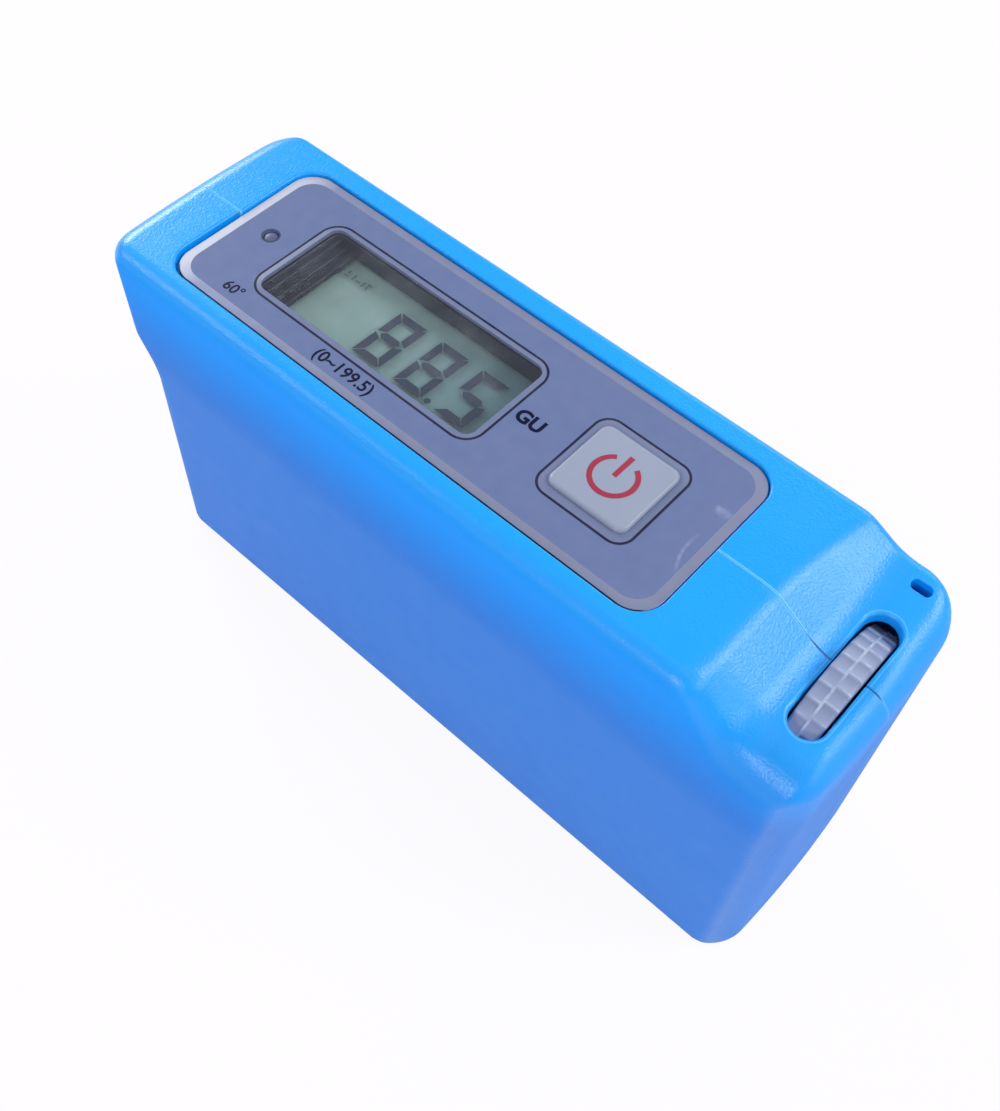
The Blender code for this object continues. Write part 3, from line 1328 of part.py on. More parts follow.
def make_receiver():
    axis = make_light_path(
        1, ("receiver_lens", "receiver_lens_ring", "receiver_stop"), RECEIVER_STOP_RADIUS,
    )
    radius = BARREL_RADIUS - SEAT
    low = STOP_PLACE + STOP_THICK + SEAT
    glass = turned([(0, FILTER_THICK), (radius, FILTER_THICK), (radius, 0), (0, 0)], 16)
    as_part(glass, "colour_filter", "filter_glass")
    place(glass, (0, 0, low), parent=axis)
    make_holder("detector_holder", axis, PHOTODIODE_RADIUS + SEAT, "black_plastic")
    face = ARM_LENGTH - HOLDER_PLUG
    wide = PHOTODIODE_RADIUS + 2 * PHOTODIODE_FLANGE
    diode = turned([
        (0, face + PHOTODIODE_LENGTH),
        (PHOTODIODE_RADIUS, face + PHOTODIODE_LENGTH),
        (PHOTODIODE_RADIUS, face - SEAT),
        (wide, face - SEAT),
        (wide, face - SEAT - PHOTODIODE_FLANGE),
        (0, face - SEAT - PHOTODIODE_FLANGE),
    ], 16)
    as_part(diode, "photodiode", "sensor_dark")
    diode.parent = axis


# Battery
def battery_left():
    return -BATTERY_ROOM / 2 + CONTACT_THICK + SPRING_LENGTH + 3 * SEAT


def make_battery():
    left = battery_left()
    body = turned([
        (0, BATTERY_LENGTH + BATTERY_TERMINAL),
        (BATTERY_TERMINAL_RADIUS, BATTERY_LENGTH + BATTERY_TERMINAL),
        (BATTERY_TERMINAL_RADIUS, BATTERY_LENGTH),
        (BATTERY_RADIUS - BATTERY_CHAMFER, BATTERY_LENGTH),
        (BATTERY_RADIUS, BATTERY_LENGTH - BATTERY_CHAMFER),
        (BATTERY_RADIUS, BATTERY_CHAMFER),
        (BATTERY_RADIUS - BATTERY_CHAMFER, 0),
        (0, 0),
    ], 24)
    as_part(body, "battery", "battery_sleeve")
    place(body, (left, BATTERY_Y, BATTERY_Z), (0, math.radians(90), 0))


def make_battery_tray():
    """Box round the battery, open to the back, with a slot for each contact."""
    half = TRAY_HALF + TRAY_WALL
    tray = span_box(
        (-TRAY_LENGTH / 2, TRAY_FRONT, BATTERY_Z - half),
        (TRAY_LENGTH / 2, TRAY_BACK, BATTERY_Z + half),
    )
    as_part(tray, "battery_tray", "black_plastic")
    cut(tray, span_box(
        (-BATTERY_ROOM / 2, TRAY_FRONT + TRAY_WALL, BATTERY_Z - TRAY_HALF),
        (BATTERY_ROOM / 2, TRAY_BACK + MARGIN, BATTERY_Z + TRAY_HALF),
    ))
    return tray


def make_battery_contacts():
    """Plate against the terminal, and plate with a coiled spring against the other end."""
    right = BATTERY_ROOM / 2 - SEAT
    positive = box(
        (CONTACT_THICK, CONTACT_SIZE, CONTACT_SIZE),
        (right - CONTACT_THICK / 2, BATTERY_Y, BATTERY_Z),
    )
    as_part(positive, "positive_contact", "steel")
    left = -BATTERY_ROOM / 2 + SEAT
    negative = box(
        (CONTACT_THICK, CONTACT_SIZE, CONTACT_SIZE),
        (left + CONTACT_THICK / 2, BATTERY_Y, BATTERY_Z),
    )
    as_part(negative, "negative_contact", "steel")
    start = left + CONTACT_THICK + SEAT + SPRING_WIRE
    room = battery_left() - SEAT - SPRING_WIRE - start
    curve = bpy.data.curves.new("spring", "CURVE")
    curve.dimensions = "3D"
    curve.bevel_depth = SPRING_WIRE
    curve.bevel_resolution = 2
    curve.use_fill_caps = True
    spline = curve.splines.new("POLY")
    count = SPRING_TURNS * SPRING_STEPS
    spline.points.add(count)
    for k, point in enumerate(spline.points):
        angle = 2 * math.pi * k / SPRING_STEPS
        radius = SPRING_RADIUS * (1 + SPRING_FLARE * (1 - k / count))
        point.co = (room * k / count, radius * math.cos(angle), radius * math.sin(angle), 1.0)
    spring = mesh_object("spring", curve)
    place(spring, (start, BATTERY_Y, BATTERY_Z))
    bpy.context.view_layer.update()
    spring = curve_to_mesh(spring)
    as_part(spring, "battery_spring", "steel")


def make_battery_door():
    """Flush door with its origin on the edge that it swings about."""
    hinge = Vector((DOOR_HINGE_X, HALF_WIDTH, BATTERY_Z))
    left = -DOOR_LENGTH / 2 - hinge.x
    right = DOOR_LENGTH / 2 - hinge.x
    plate = flat_piece(
        [rounded_rectangle(DOOR_LENGTH, DOOR_HEIGHT, SHARP_ROUNDING, 2, ((left + right) / 2, 0))],
        -DOOR_THICK / 2, DOOR_THICK / 2,
    )
    plate.data.transform(Matrix.Rotation(math.radians(90), 4, "X"))
    plate.data.transform(Matrix.Translation((0, -DOOR_THICK / 2, 0)))
    plate.location = (0, 0, 0)
    as_part(plate, "battery_door", "case_blue")
    for z in (-TAB_SPREAD / 2, TAB_SPREAD / 2):
        inner = -HALF_WIDTH + LEDGE_FACE - SEAT
        root_left = left + DOOR_LAP + SEAT
        root = span_box(
            (root_left, inner - TAB_THICK, z - TAB_WIDTH / 2),
            (root_left + TAB_ROOT, -DOOR_THICK / 2, z + TAB_WIDTH / 2),
        )
        tab = span_box(
            (left - TAB_REACH, inner - TAB_THICK, z - TAB_WIDTH / 2),
            (root_left + TAB_ROOT / 2, inner, z + TAB_WIDTH / 2),
        )
        for tool in (root, tab):
            tool.parent = plate
            fuse(plate, tool)
    for k in range(GRIP_RIBS):
        x = right - GRIP_RIB_INSET - k * GRIP_RIB_PITCH
        groove = span_box(
            (x - GRIP_RIB_WIDTH, -GRIP_RIB_DEPTH, -GRIP_RIB_LENGTH / 2),
            (x, MARGIN, GRIP_RIB_LENGTH / 2),
        )
        groove.parent = plate
        cut(plate, groove)
    return place(plate, hinge)


def build():
    make_front_shell()
    make_rear_shell()
    make_case_screws()
    make_face_label()
    make_display_window()
    make_display_bezel()
    make_display()
    make_power_key()
    make_key_switch()
    make_indicator()
    make_board()
    make_board_screws()
    make_calibration_wheel()
    make_potentiometer()
    make_base_plate()
    make_optics_block()
    make_optics_screws()
    make_source()
    make_receiver()
    make_battery_tray()
    make_battery()
    make_battery_contacts()
    make_battery_door()


build()
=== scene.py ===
import math

import bmesh
import bpy
import numpy as np
from mathutils import Matrix, Vector


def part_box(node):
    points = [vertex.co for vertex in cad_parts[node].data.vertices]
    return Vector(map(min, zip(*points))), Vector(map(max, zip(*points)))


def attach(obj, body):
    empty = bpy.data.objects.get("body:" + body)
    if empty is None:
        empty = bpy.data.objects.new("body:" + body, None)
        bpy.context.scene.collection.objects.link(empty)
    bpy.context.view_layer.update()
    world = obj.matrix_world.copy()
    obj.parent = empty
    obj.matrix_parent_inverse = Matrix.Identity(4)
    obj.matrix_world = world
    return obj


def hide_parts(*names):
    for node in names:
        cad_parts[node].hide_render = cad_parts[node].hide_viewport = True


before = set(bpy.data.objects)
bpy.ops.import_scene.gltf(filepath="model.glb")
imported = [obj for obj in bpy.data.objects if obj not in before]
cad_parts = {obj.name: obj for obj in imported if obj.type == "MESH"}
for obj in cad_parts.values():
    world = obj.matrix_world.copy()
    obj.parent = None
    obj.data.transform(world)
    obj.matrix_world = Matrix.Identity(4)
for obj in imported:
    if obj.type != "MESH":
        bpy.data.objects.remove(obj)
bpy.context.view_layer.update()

mm = 0.001
print("frame loaded, nodes:", len(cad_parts))


# Node helpers

def paint(red, green, blue):
    # linear colour of a colour picker's 0 to 255 numbers
    part = np.array([red, green, blue]) / 255
    linear = np.where(part <= 0.04045, part / 12.92, ((part + 0.055) / 1.055) ** 2.4)
    return (*linear.tolist(), 1.0)


def bothWays(operation):
    # an operator and its reflected form
    return (lambda self, other: self.math(operation, self, other),
            lambda self, other: self.math(operation, other, self))


class Wire:
    # a socket in a finish: arithmetic on it adds the Math nodes
    def __init__(self, finish, socket):
        self.finish = finish
        self.socket = socket

    def math(self, operation, *values, clamp=False):
        settings = {"operation": operation, "use_clamp": clamp}
        return self.finish.node("ShaderNodeMath", settings, dict(enumerate(values)))

    __add__, __radd__ = bothWays("ADD")
    __sub__, __rsub__ = bothWays("SUBTRACT")
    __mul__, __rmul__ = bothWays("MULTIPLY")
    __truediv__, __rtruediv__ = bothWays("DIVIDE")
    __pow__, __rpow__ = bothWays("POWER")
    larger = bothWays("MAXIMUM")[0]
    smaller = bothWays("MINIMUM")[0]

    def __abs__(self):
        return self.math("ABSOLUTE", self)

    def sine(self):
        return self.math("SINE", self)

    def past(self, edge, soft):
        # 0 below the edge, 1 above it, straight across the soft width
        return self.math("MULTIPLY_ADD", self, 1 / soft, 0.5 - edge / soft, clamp=True)


finishes = {}


class Finish:
    # one material, kept in finishes under its key: constants go straight on the shader's sockets,
    # patterns are in millimetres
    def __init__(self, key, name, **constants):
        self.material = finishes[key] = bpy.data.materials.new(name)
        self.material.use_nodes = True
        self.tree = self.material.node_tree
        self.shader = self.tree.nodes["Principled BSDF"]
        for socket, value in constants.items():
            self.shader.inputs[socket.replace("_", " ")].default_value = value
        metres = self.node("ShaderNodeTexCoord", output="Object")
        self.place = self.node("ShaderNodeVectorMath", {"operation": "SCALE"}, {0: metres, "Scale": 1 / mm})

    def node(self, kind, settings=None, values=None, output=0):
        # any node: its settings first, then the values or links of its sockets
        made = self.tree.nodes.new(kind)
        for key, value in (settings or {}).items():
            setattr(made, key, value)
        for key, value in (values or {}).items():
            if isinstance(value, Wire):
                self.tree.links.new(value.socket, made.inputs[key])
            else:
                made.inputs[key].default_value = value
        return Wire(self, made.outputs[output])

    def axes(self):
        # the three coordinates, in millimetres
        split = self.tree.nodes.new("ShaderNodeSeparateXYZ")
        self.tree.links.new(self.place.socket, split.inputs[0])
        return [Wire(self, output) for output in split.outputs]

    def noise(self, size, detail=2.0, stretch=None):
        # soft cloud with spots of about the given size
        place = self.place
        if stretch:
            place = self.node("ShaderNodeVectorMath", {"operation": "MULTIPLY"}, {0: place, 1: stretch})
        return self.node("ShaderNodeTexNoise", {}, {"Vector": place, "Scale": 1 / size, "Detail": detail})

    def mix(self, factor, first, second):
        settings = {"data_type": "RGBA"}
        return self.node("ShaderNodeMix", settings, {0: factor, 6: first, 7: second}, output=2)

    def bump(self, height, distance, under=None):
        # height from 0 to 1 raises the surface by the distance, in millimetres
        values = {"Height": height, "Distance": distance * mm}
        if under is not None:
            values["Normal"] = under
        return self.node("ShaderNodeBump", {}, values)

    def feed(self, **wires):
        for key, wire in wires.items():
            self.tree.links.new(wire.socket, self.shader.inputs[key.replace("_", " ")])

    def blended(self, factor, shader):
        # another shader over the principled one, where the factor is 1
        values = {0: factor, 1: Wire(self, self.shader.outputs[0]), 2: shader}
        mixed = self.node("ShaderNodeMixShader", {}, values)
        self.tree.links.new(mixed.socket, self.tree.nodes["Material Output"].inputs["Surface"])


def roundedDistance(x, y, centre, size, rounding):
    # how far a place lies outside a rounded rectangle, negative inside it
    sideX = abs(x - centre[0]) - (size[0] / 2 - rounding)
    sideY = abs(y - centre[1]) - (size[1] / 2 - rounding)
    outside = (sideX.larger(0) ** 2 + sideY.larger(0) ** 2) ** 0.5
    return outside + sideX.larger(sideY).smaller(0) - rounding


# Places of the CAD nodes, in millimetres

def nodeBox(name):
    low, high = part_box(name)
    return np.array(low) / mm, np.array(high) / mm


def nodeCentre(name):
    return sum(nodeBox(name)) / 2


labelLow, labelHigh = nodeBox("face_label")
windowLow, windowHigh = nodeBox("display_window")
panelLow, panelHigh = nodeBox("display_panel")
keyLow, keyHigh = nodeBox("power_key")
doorLow, doorHigh = nodeBox("battery_door")
lensLow, lensHigh = nodeBox("indicator_lens")
labelCentre = nodeCentre("face_label")[:2]
windowCentre = nodeCentre("display_window")[:2]
keyCentre = nodeCentre("power_key")[:2]
lensCentre = (*nodeCentre("indicator_lens")[:2], 0)
labelSize = (labelHigh - labelLow)[:2]
windowSize = (windowHigh - windowLow)[:2]
panelSize = (panelHigh - panelLow)[:2]
labelTop = labelHigh[2]
labelRounding = 3.8
keySide = 11.6
slotPlace = (51.45, -0.6, 4.5, 18.7)  # middle, width and length of the wheel's slot


# Finishes

casePaint = {
    # the last colour on the next line is painted shade: the deeper blue towards the bottom of the sides
    "blue": paint(10, 162, 248), "deep": paint(6, 155, 246), "low": paint(9, 128, 219),
    # the first colour on the next line paints a highlight along the parting line and round the slot's lip;
    # the dark one is the joint's own dark line
    "seam": paint(130, 220, 255), "seamDark": paint(6, 84, 150), "seamHalf": 0.16, "seamShare": 0.62,
    "roughness": 0.32, "grain": 0.29, "grainHeight": 0.05, "sheen": 0.5,
    # height under which painted shade turns the sides to the deeper low blue, and over how much; the seam is
    # dark between two places
    "paintedShadeFrom": 48.5, "paintedShadeOver": 13, "seamDarkSpan": (46, 55.8),
    # the painted highlight on the slot's rim: its distance from the slot, half its width, its share and its
    # least height
    "slotHighlight": (0.42, 0.08, 0.3, 50),
    # matt front: from where, how much, how much more at the top and from where; matt right end
    "mattFront": (16.2, 0.22, 0.4, 46), "mattEnd": (56, 0.3),
}


def caseFinish():
    # moulded plastic with a fine spark-eroded grain: painted shade that deepens the blue down the sides, matt
    # at the top of the
    #     # front and on the right end, a painted highlight along the parting line and another round the
    #     slot's lip
    f = Finish("case_blue", "satinBlueCase", IOR=1.5, Specular_IOR_Level=casePaint["sheen"])
    x, y, z = f.axes()
    # painted shade: the blue deepens down the sides
    low = (casePaint["paintedShadeFrom"] - z).past(0, casePaint["paintedShadeOver"])
    colour = f.mix(low, f.mix(f.noise(9.0, 3.0), casePaint["deep"], casePaint["blue"]), casePaint["low"])
    # painted highlight round the slot's lip
    reach, half, rimShare, rimFrom = casePaint["slotHighlight"]
    away = roundedDistance(x, y, slotPlace[:2], slotPlace[2:], slotPlace[2] / 2)
    rim = rimShare * (half - abs(away - reach)).past(0, 0.12) * z.past(rimFrom, 1)
    colour = f.mix(rim, colour, casePaint["seam"])
    # painted highlight along the parting line, fainter low down, turning to the dark joint line in places
    seam = casePaint["seamShare"] * (1 - 0.5 * low) * (casePaint["seamHalf"] - abs(y)).past(0, 0.08)
    left, right = casePaint["seamDarkSpan"]
    seamDark = (x.past(left, 2) * (right - x).past(0, 0.8)).larger(low)
    front, share, more, topFrom = casePaint["mattFront"]
    end, endShare = casePaint["mattEnd"]
    matt = (0 - y).past(front, 0.6) * (share + more * z.past(topFrom, 16)) + endShare * x.past(end, 3)
    f.feed(
        Base_Color=f.mix(seam, colour, f.mix(seamDark, casePaint["seam"], casePaint["seamDark"])),
        Roughness=casePaint["roughness"] - 0.05 + 0.1 * f.noise(3.0) + matt,
        Normal=f.bump(f.noise(casePaint["grain"]), casePaint["grainHeight"]),
    )


caseFinish()

labelPaint = {
    "silver": paint(152, 159, 192), "glarePaint": paint(240, 244, 252), "panel": paint(96, 111, 154),
    "strip": paint(106, 118, 152), "line": paint(2, 8, 50), "lineWidth": 0.34,
    "dust": paint(205, 212, 230), "rubbed": paint(196, 204, 228),
    # width of the silver border along and across, and the rounding inside it
    "border": (1.35, 1.3), "innerRounding": 3.0,
    # painted glare turns the border pale left of this x, over a reach; painted shade darkens the front edge
    # beyond this y
    "glareFrom": -46, "glareOver": 9, "lipShadeFrom": -11.6,
    # middle, length, width and rounding of the line round the display and of the one round the key
    "frames": [(-17.47, -0.05, 38.85, 16.3, 2.8), (17.6, -0.05, 13.8, 14.3, 2.2)],
    # two rubbed places: a bar as above, and an arc's middle, radius, half width, half span and its y
    "bar": (29.7, 4.8, 2.2, 1.3, 0.3), "arc": (37, -1, 7.6, 0.16, 2.8, -2.4),
}


def labelFinish():
    # silver print with a grey panel, and a dark line with a paler strip inside it at each opening
    # the border's left end carries painted glare, and its front edge painted shade under the pocket's lip
    f = Finish("label_grey", "printedLabel", Roughness=0.34, IOR=1.5, Specular_IOR_Level=0.2)
    x, y = f.axes()[:2]

    def around(centreX, centreY, length, width, rounding):
        return roundedDistance(x, y, (centreX, centreY), (length, width), rounding)

    inner = labelSize - 2 * np.array(labelPaint["border"])
    silver = around(*labelCentre, *inner, labelPaint["innerRounding"]).past(0, 0.06)
    # painted glare: the border is painted paler towards its left end
    paintedGlare = (labelPaint["glareFrom"] - x).past(0, labelPaint["glareOver"])
    foilAndGlare = f.mix(paintedGlare, labelPaint["silver"], labelPaint["glarePaint"])
    colour = f.mix(silver, labelPaint["panel"], foilAndGlare)
    rim = around(*labelCentre, *labelSize, labelRounding)
    # painted shade along the label's front edge, under the pocket's lip
    lipShade = (rim + labelPaint["lineWidth"] / 2).past(0, 0.1)
    lipShade = lipShade * (labelPaint["lipShadeFrom"] - y).past(0, 0.6)
    colour = f.mix(lipShade, colour, labelPaint["line"])
    raised = 0.0
    for opening in labelPaint["frames"]:
        gap = around(*opening)
        colour = f.mix((0 - gap).past(0, 0.05), colour, labelPaint["strip"])
        line = (labelPaint["lineWidth"] / 2 - abs(gap)).past(0, 0.06)
        colour = f.mix(line, colour, labelPaint["line"])
        raised = raised + (0 - gap).past(0.45, 0.7)
    bar = (0 - around(*labelPaint["bar"])).past(0.1, 0.5)
    arcX, arcY, radius, half, span, level = labelPaint["arc"]
    bow = ((x - arcX) ** 2 + (y - arcY) ** 2) ** 0.5
    arc = (half - abs(bow - radius)).past(0, 0.3) * (span - abs(y - level)).past(0.4, 1.6)
    arc = arc * (arcX - x).past(0, 1)
    rubbed = (bar * 0.6 + arc * 0.7) * f.noise(0.8, 3.0).past(0.4, 0.4)
    cloud = f.noise(2.0, 3.0)
    colour = f.mix(0.06 * cloud, colour, labelPaint["dust"])
    f.feed(
        Base_Color=f.mix(0.35 * rubbed, colour, labelPaint["rubbed"]),
        Metallic=0.6 * silver * (1 - paintedGlare),
        Roughness=0.28 + 0.1 * cloud + 0.12 * rubbed,
        Normal=f.bump(raised, 0.1, under=f.bump(f.noise(0.45, 3.0), 0.002)),
    )


labelFinish()


def clearFinish(key, name, tint, roughness, dust):
    # clear sheet: light goes straight through, with a gloss on its outer side at glancing angles
    f = Finish(key, name, Roughness=roughness, IOR=1.49)
    clear = f.node("ShaderNodeBsdfTransparent", {}, {"Color": tint})
    outer = 1 - f.node("ShaderNodeNewGeometry", output="Backfacing")
    glint = outer * f.node("ShaderNodeFresnel", {}, {"IOR": 1.45})
    haze = dust * f.noise(4.0, 4.0).past(0.6, 0.3)
    f.feed(Base_Color=f.mix(haze, paint(215, 222, 232), paint(240, 243, 248)))
    f.blended(1 - (glint + haze), clear)
    f.material.surface_render_method = "BLENDED"


clearFinish("clear_window", "clearWindow", (0.93, 0.95, 0.97, 1), 0.06, 0.03)
clearFinish("display_cover", "displayCover", (0.9, 0.94, 0.95, 1), 0.12, 0.02)

mouldings = {
    # name, colour and the one that it clouds to, roughness, size and height of the grain, coat, sheen
    "black_plastic": ("darkBezel", (24, 29, 54), (18, 22, 44), 0.26, 0.3, 0.003, 0.4),
    "inner_black": ("blackMoulding", (28, 28, 30), (22, 22, 25), 0.5, 0.3, 0.008),
    "key_grey": ("greyKey", (147, 157, 180), (142, 152, 175), 0.36, 0.28, 0.006),
    "symbol_red": ("redPrint", (158, 44, 72), (150, 40, 66), 0.4, 0.3, 0.003),
    "print_dark": ("darkPrint", (3, 9, 50), (2, 7, 46), 0.5, 0.3, 0.002, 0.0, 0.15),
    "rubber": ("blackRubber", (34, 34, 36), (28, 28, 30), 0.75, 0.2, 0.01),
    "chip_black": ("chipBody", (36, 36, 38), (30, 30, 33), 0.55, 0.12, 0.006),
    "indicator_grey": ("greyIndicator", (84, 96, 130), (74, 86, 120), 0.4, 0.2, 0.002),
    "indicator_ring": ("indicatorRing", (52, 60, 94), (46, 54, 88), 0.35, 0.2, 0.002),
    "digit": ("displayDigit", (40, 50, 78), (46, 56, 84), 0.35, 0.3, 0.001),
    "ghost": ("displayGhost", (104, 120, 124), (104, 120, 124), 0.4, 0.3, 0.001),
    "black_metal": ("blackAnodised", (34, 35, 38), (27, 28, 31), 0.46, 0.1, 0.004),
}


def mouldedFinish(key, name, colour, other, roughness, grain, height, coat=0.0, sheen=0.5):
    # plain moulding: slight colour cloud, fine grain
    f = Finish(key, name, IOR=1.5, Coat_Weight=coat, Coat_Roughness=0.2, Specular_IOR_Level=sheen)
    f.feed(
        Base_Color=f.mix(f.noise(6.0, 3.0), paint(*colour), paint(*other)),
        Roughness=roughness - 0.04 + 0.08 * f.noise(1.5),
        Normal=f.bump(f.noise(grain), height),
    )


for key, values in mouldings.items():
    mouldedFinish(key, *values)

# the middle colour is painted shade at the foot of each pad; the last is pale wear with a painted highlight
# on the pad edges
wheelPaint = {"pad": paint(148, 161, 193), "groove": paint(120, 133, 166), "edge": paint(198, 208, 230)}


def wheelFinish():
    # rubbed pads: painted shade darkens the foot of each, pale where the edges are worn, with a painted
    # highlight there
    f = Finish("wheel_grey", "ribbedWheel", IOR=1.5)
    rise = f.node("ShaderNodeAttribute", {"attribute_name": "rise"}, output="Fac")
    edge = f.node("ShaderNodeAttribute", {"attribute_name": "padEdge"}, output="Fac")
    # pale edges: partly wear, partly a painted highlight along the pad edges
    wearAndGlint = 0.85 * edge * f.noise(1.1, 3.0).past(0.5, 0.25)
    # painted shade: darker at the foot of each tooth, paler towards its crest
    colour = f.mix(rise * (0.55 + 0.9 * f.noise(1.8)), wheelPaint["groove"], wheelPaint["pad"])
    f.feed(
        Base_Color=f.mix(wearAndGlint, colour, wheelPaint["edge"]),
        Roughness=0.46 - 0.12 * edge,
        Normal=f.bump(f.noise(0.25), 0.005),
    )


wheelFinish()

reflectorPaint = {
    "litEnd": paint(194, 212, 196), "shadedEnd": paint(92, 134, 144), "sparkle": paint(190, 204, 200),
    # the painted shade on the right: how far right of the middle it is half reached, and over how much
    "shadeMiddle": 6, "shadeReach": 34,
}


def displayFinish():
    # reflector behind the liquid crystal: greenish grey, darkened to the right by painted shade, with a fine
    # sparkle
    f = Finish("display_glass", "displayReflector", IOR=1.45)
    middle = (panelLow[0] + panelHigh[0]) / 2
    # painted shade: the reflector darkens towards the right
    across = f.axes()[0].past(middle + reflectorPaint["shadeMiddle"], reflectorPaint["shadeReach"])
    sparkle = f.noise(0.12)
    base = f.mix(across, reflectorPaint["litEnd"], reflectorPaint["shadedEnd"])
    f.feed(
        Base_Color=f.mix(0.12 * sparkle, base, reflectorPaint["sparkle"]),
        Roughness=0.42 + 0.12 * sparkle,
        Normal=f.bump(sparkle, 0.003),
    )


displayFinish()

metals = {
    # name, colour, roughness, size and height of the marks, and their stretch
    "steel": ("zincSteel", paint(196, 199, 204), 0.3, 0.12, 0.002),
    "brass": ("brassTurning", paint(206, 176, 104), 0.28, 0.1, 0.002, (1, 4, 4)),
    "spring_steel": ("nickelSpring", paint(188, 188, 184), 0.24, 0.1, 0.001),
}


def metalFinish(key, name, colour, roughness, brush, height, stretch=None):
    # metal with fine turned or drawn marks
    f = Finish(key, name, Metallic=1.0)
    marks = f.noise(brush, 3.0, stretch)
    darker = tuple(0.72 * part for part in colour[:3]) + (1,)
    f.feed(
        Base_Color=f.mix(0.35 * f.noise(2.5, 3.0), colour, darker),
        Roughness=roughness - 0.06 + 0.14 * marks,
        Normal=f.bump(marks, height),
    )


for key, values in metals.items():
    metalFinish(key, *values)

boardPaint = {
    "mask": paint(16, 84, 46), "track": paint(30, 112, 60), "pad": paint(196, 198, 200),
    "trackPitch": 1.27, "crossPitch": 1.9, "padPitch": 3.1, "padRadius": 0.3,
}


def boardFinish():
    # solder mask over copper tracks, with pale pads
    f = Finish("board_green", "greenBoard", IOR=1.5)
    x, y = f.axes()[:2]
    wander = f.noise(7.0)
    tracks = ((x + 6 * wander) * (math.pi / boardPaint["trackPitch"])).sine().past(0.72, 0.2)
    cross = ((y + 5 * wander) * (math.pi / boardPaint["crossPitch"])).sine().past(0.86, 0.15)
    copper = tracks.larger(cross)
    cells = f.node("ShaderNodeTexVoronoi", {}, {"Vector": f.place, "Scale": 1 / boardPaint["padPitch"]})
    pads = (boardPaint["padRadius"] - cells).past(0, 0.05)
    colour = f.mix(copper, boardPaint["mask"], boardPaint["track"])
    f.feed(
        Base_Color=f.mix(pads, colour, boardPaint["pad"]),
        Roughness=0.36 - 0.1 * pads,
        Normal=f.bump(copper, 0.02),
    )


boardFinish()

glasses = {
    # name, colour, transmission, roughness
    "optical_glass": ("opticalGlass", paint(232, 242, 246), 0.95, 0.02),
    "filter_glass": ("greenFilter", paint(90, 178, 96), 0.85, 0.03),
    "clear_plastic": ("clearGuide", paint(222, 230, 238), 0.7, 0.12),
    "sensor_dark": ("sensorWindow", paint(28, 20, 44), 0.3, 0.08),
}


def glassFinish(key, name, colour, transmission, roughness):
    # optical glass with a faint polish haze
    f = Finish(key, name, IOR=1.52, Transmission_Weight=transmission)
    f.feed(
        Base_Color=f.mix(0.4 * f.noise(3.0), colour, (1, 1, 1, 1)),
        Roughness=roughness + 0.03 * f.noise(1.0, 3.0),
    )


for key, values in glasses.items():
    glassFinish(key, *values)

cellPaint = {
    "dark": paint(30, 32, 36), "copper": paint(184, 120, 62), "ring": paint(222, 222, 222),
    # where the copper end begins, and the pale ring's place and half width
    "endFrom": 12.0, "ringAt": 11.4, "ringHalf": 0.35,
}


def batteryFinish():
    # printed sleeve: dark body with a copper-coloured end, as plain cells have
    f = Finish("battery_sleeve", "batterySleeve", IOR=1.5, Metallic=0.3)
    x = f.axes()[0]
    colour = f.mix(x.past(cellPaint["endFrom"], 0.1), cellPaint["dark"], cellPaint["copper"])
    ring = (cellPaint["ringHalf"] - abs(x - cellPaint["ringAt"])).past(0, 0.06)
    f.feed(
        Base_Color=f.mix(ring, colour, cellPaint["ring"]),
        Roughness=0.28 + 0.1 * f.noise(1.2, 3.0),
        Normal=f.bump(f.noise(3.0), 0.01),
    )


batteryFinish()
print("finishes made:", len(finishes))


# Mesh helpers

def linked(name, data):
    # a new object in the scene
    obj = bpy.data.objects.new(name, data)
    bpy.context.scene.collection.objects.link(obj)
    return obj


def gridFaces(rows, columns, looped):
    # quads between neighbouring rows; the columns always close on themselves
    row = np.arange(rows if looped else rows - 1)[:, None]
    column = np.arange(columns)[None, :]
    ahead = (column + 1) % columns
    here, above = row * columns, (row + 1) % rows * columns
    return np.stack([here + column, here + ahead, above + ahead, above + column], -1).reshape(-1, 4).tolist()


def lofted(name, rings, looped=False):
    # a closed skin through rings of points, an array of rows by columns by 3 in millimetres
    rows, columns = rings.shape[:2]
    faces = gridFaces(rows, columns, looped)
    if not looped:
        faces += [list(range(columns))[::-1], list(range((rows - 1) * columns, rows * columns))]
    mesh = bpy.data.meshes.new(name)
    mesh.from_pydata((rings.reshape(-1, 3) * mm).tolist(), [], faces)
    work = bmesh.new()
    work.from_mesh(mesh)
    bmesh.ops.remove_doubles(work, verts=work.verts, dist=0.0005 * mm)
    bmesh.ops.recalc_face_normals(work, faces=work.faces)
    work.to_mesh(mesh)
    work.free()
    return linked(name, mesh)


def joined(name, objects):
    # several skins in one mesh
    work = bmesh.new()
    for obj in objects:
        work.from_mesh(obj.data)
        bpy.data.objects.remove(obj, do_unlink=True)
    mesh = bpy.data.meshes.new(name)
    work.to_mesh(mesh)
    work.free()
    return linked(name, mesh)


def meshOf(obj):
    # the mesh as the object's modifiers or its lettering make it
    bpy.context.view_layer.update()
    return bpy.data.meshes.new_from_object(obj.evaluated_get(bpy.context.evaluated_depsgraph_get()))


def carved(obj, tools, way="DIFFERENCE"):
    # cuts the tools from the piece, or grows them onto it
    tool = joined("tool", tools)
    modifier = obj.modifiers.new("carve", "BOOLEAN")
    modifier.operation = way
    modifier.solver = "EXACT"
    modifier.object = tool
    mesh, old = meshOf(obj), obj.data
    obj.modifiers.clear()
    obj.data = mesh
    bpy.data.meshes.remove(old)
    bpy.data.objects.remove(tool, do_unlink=True)


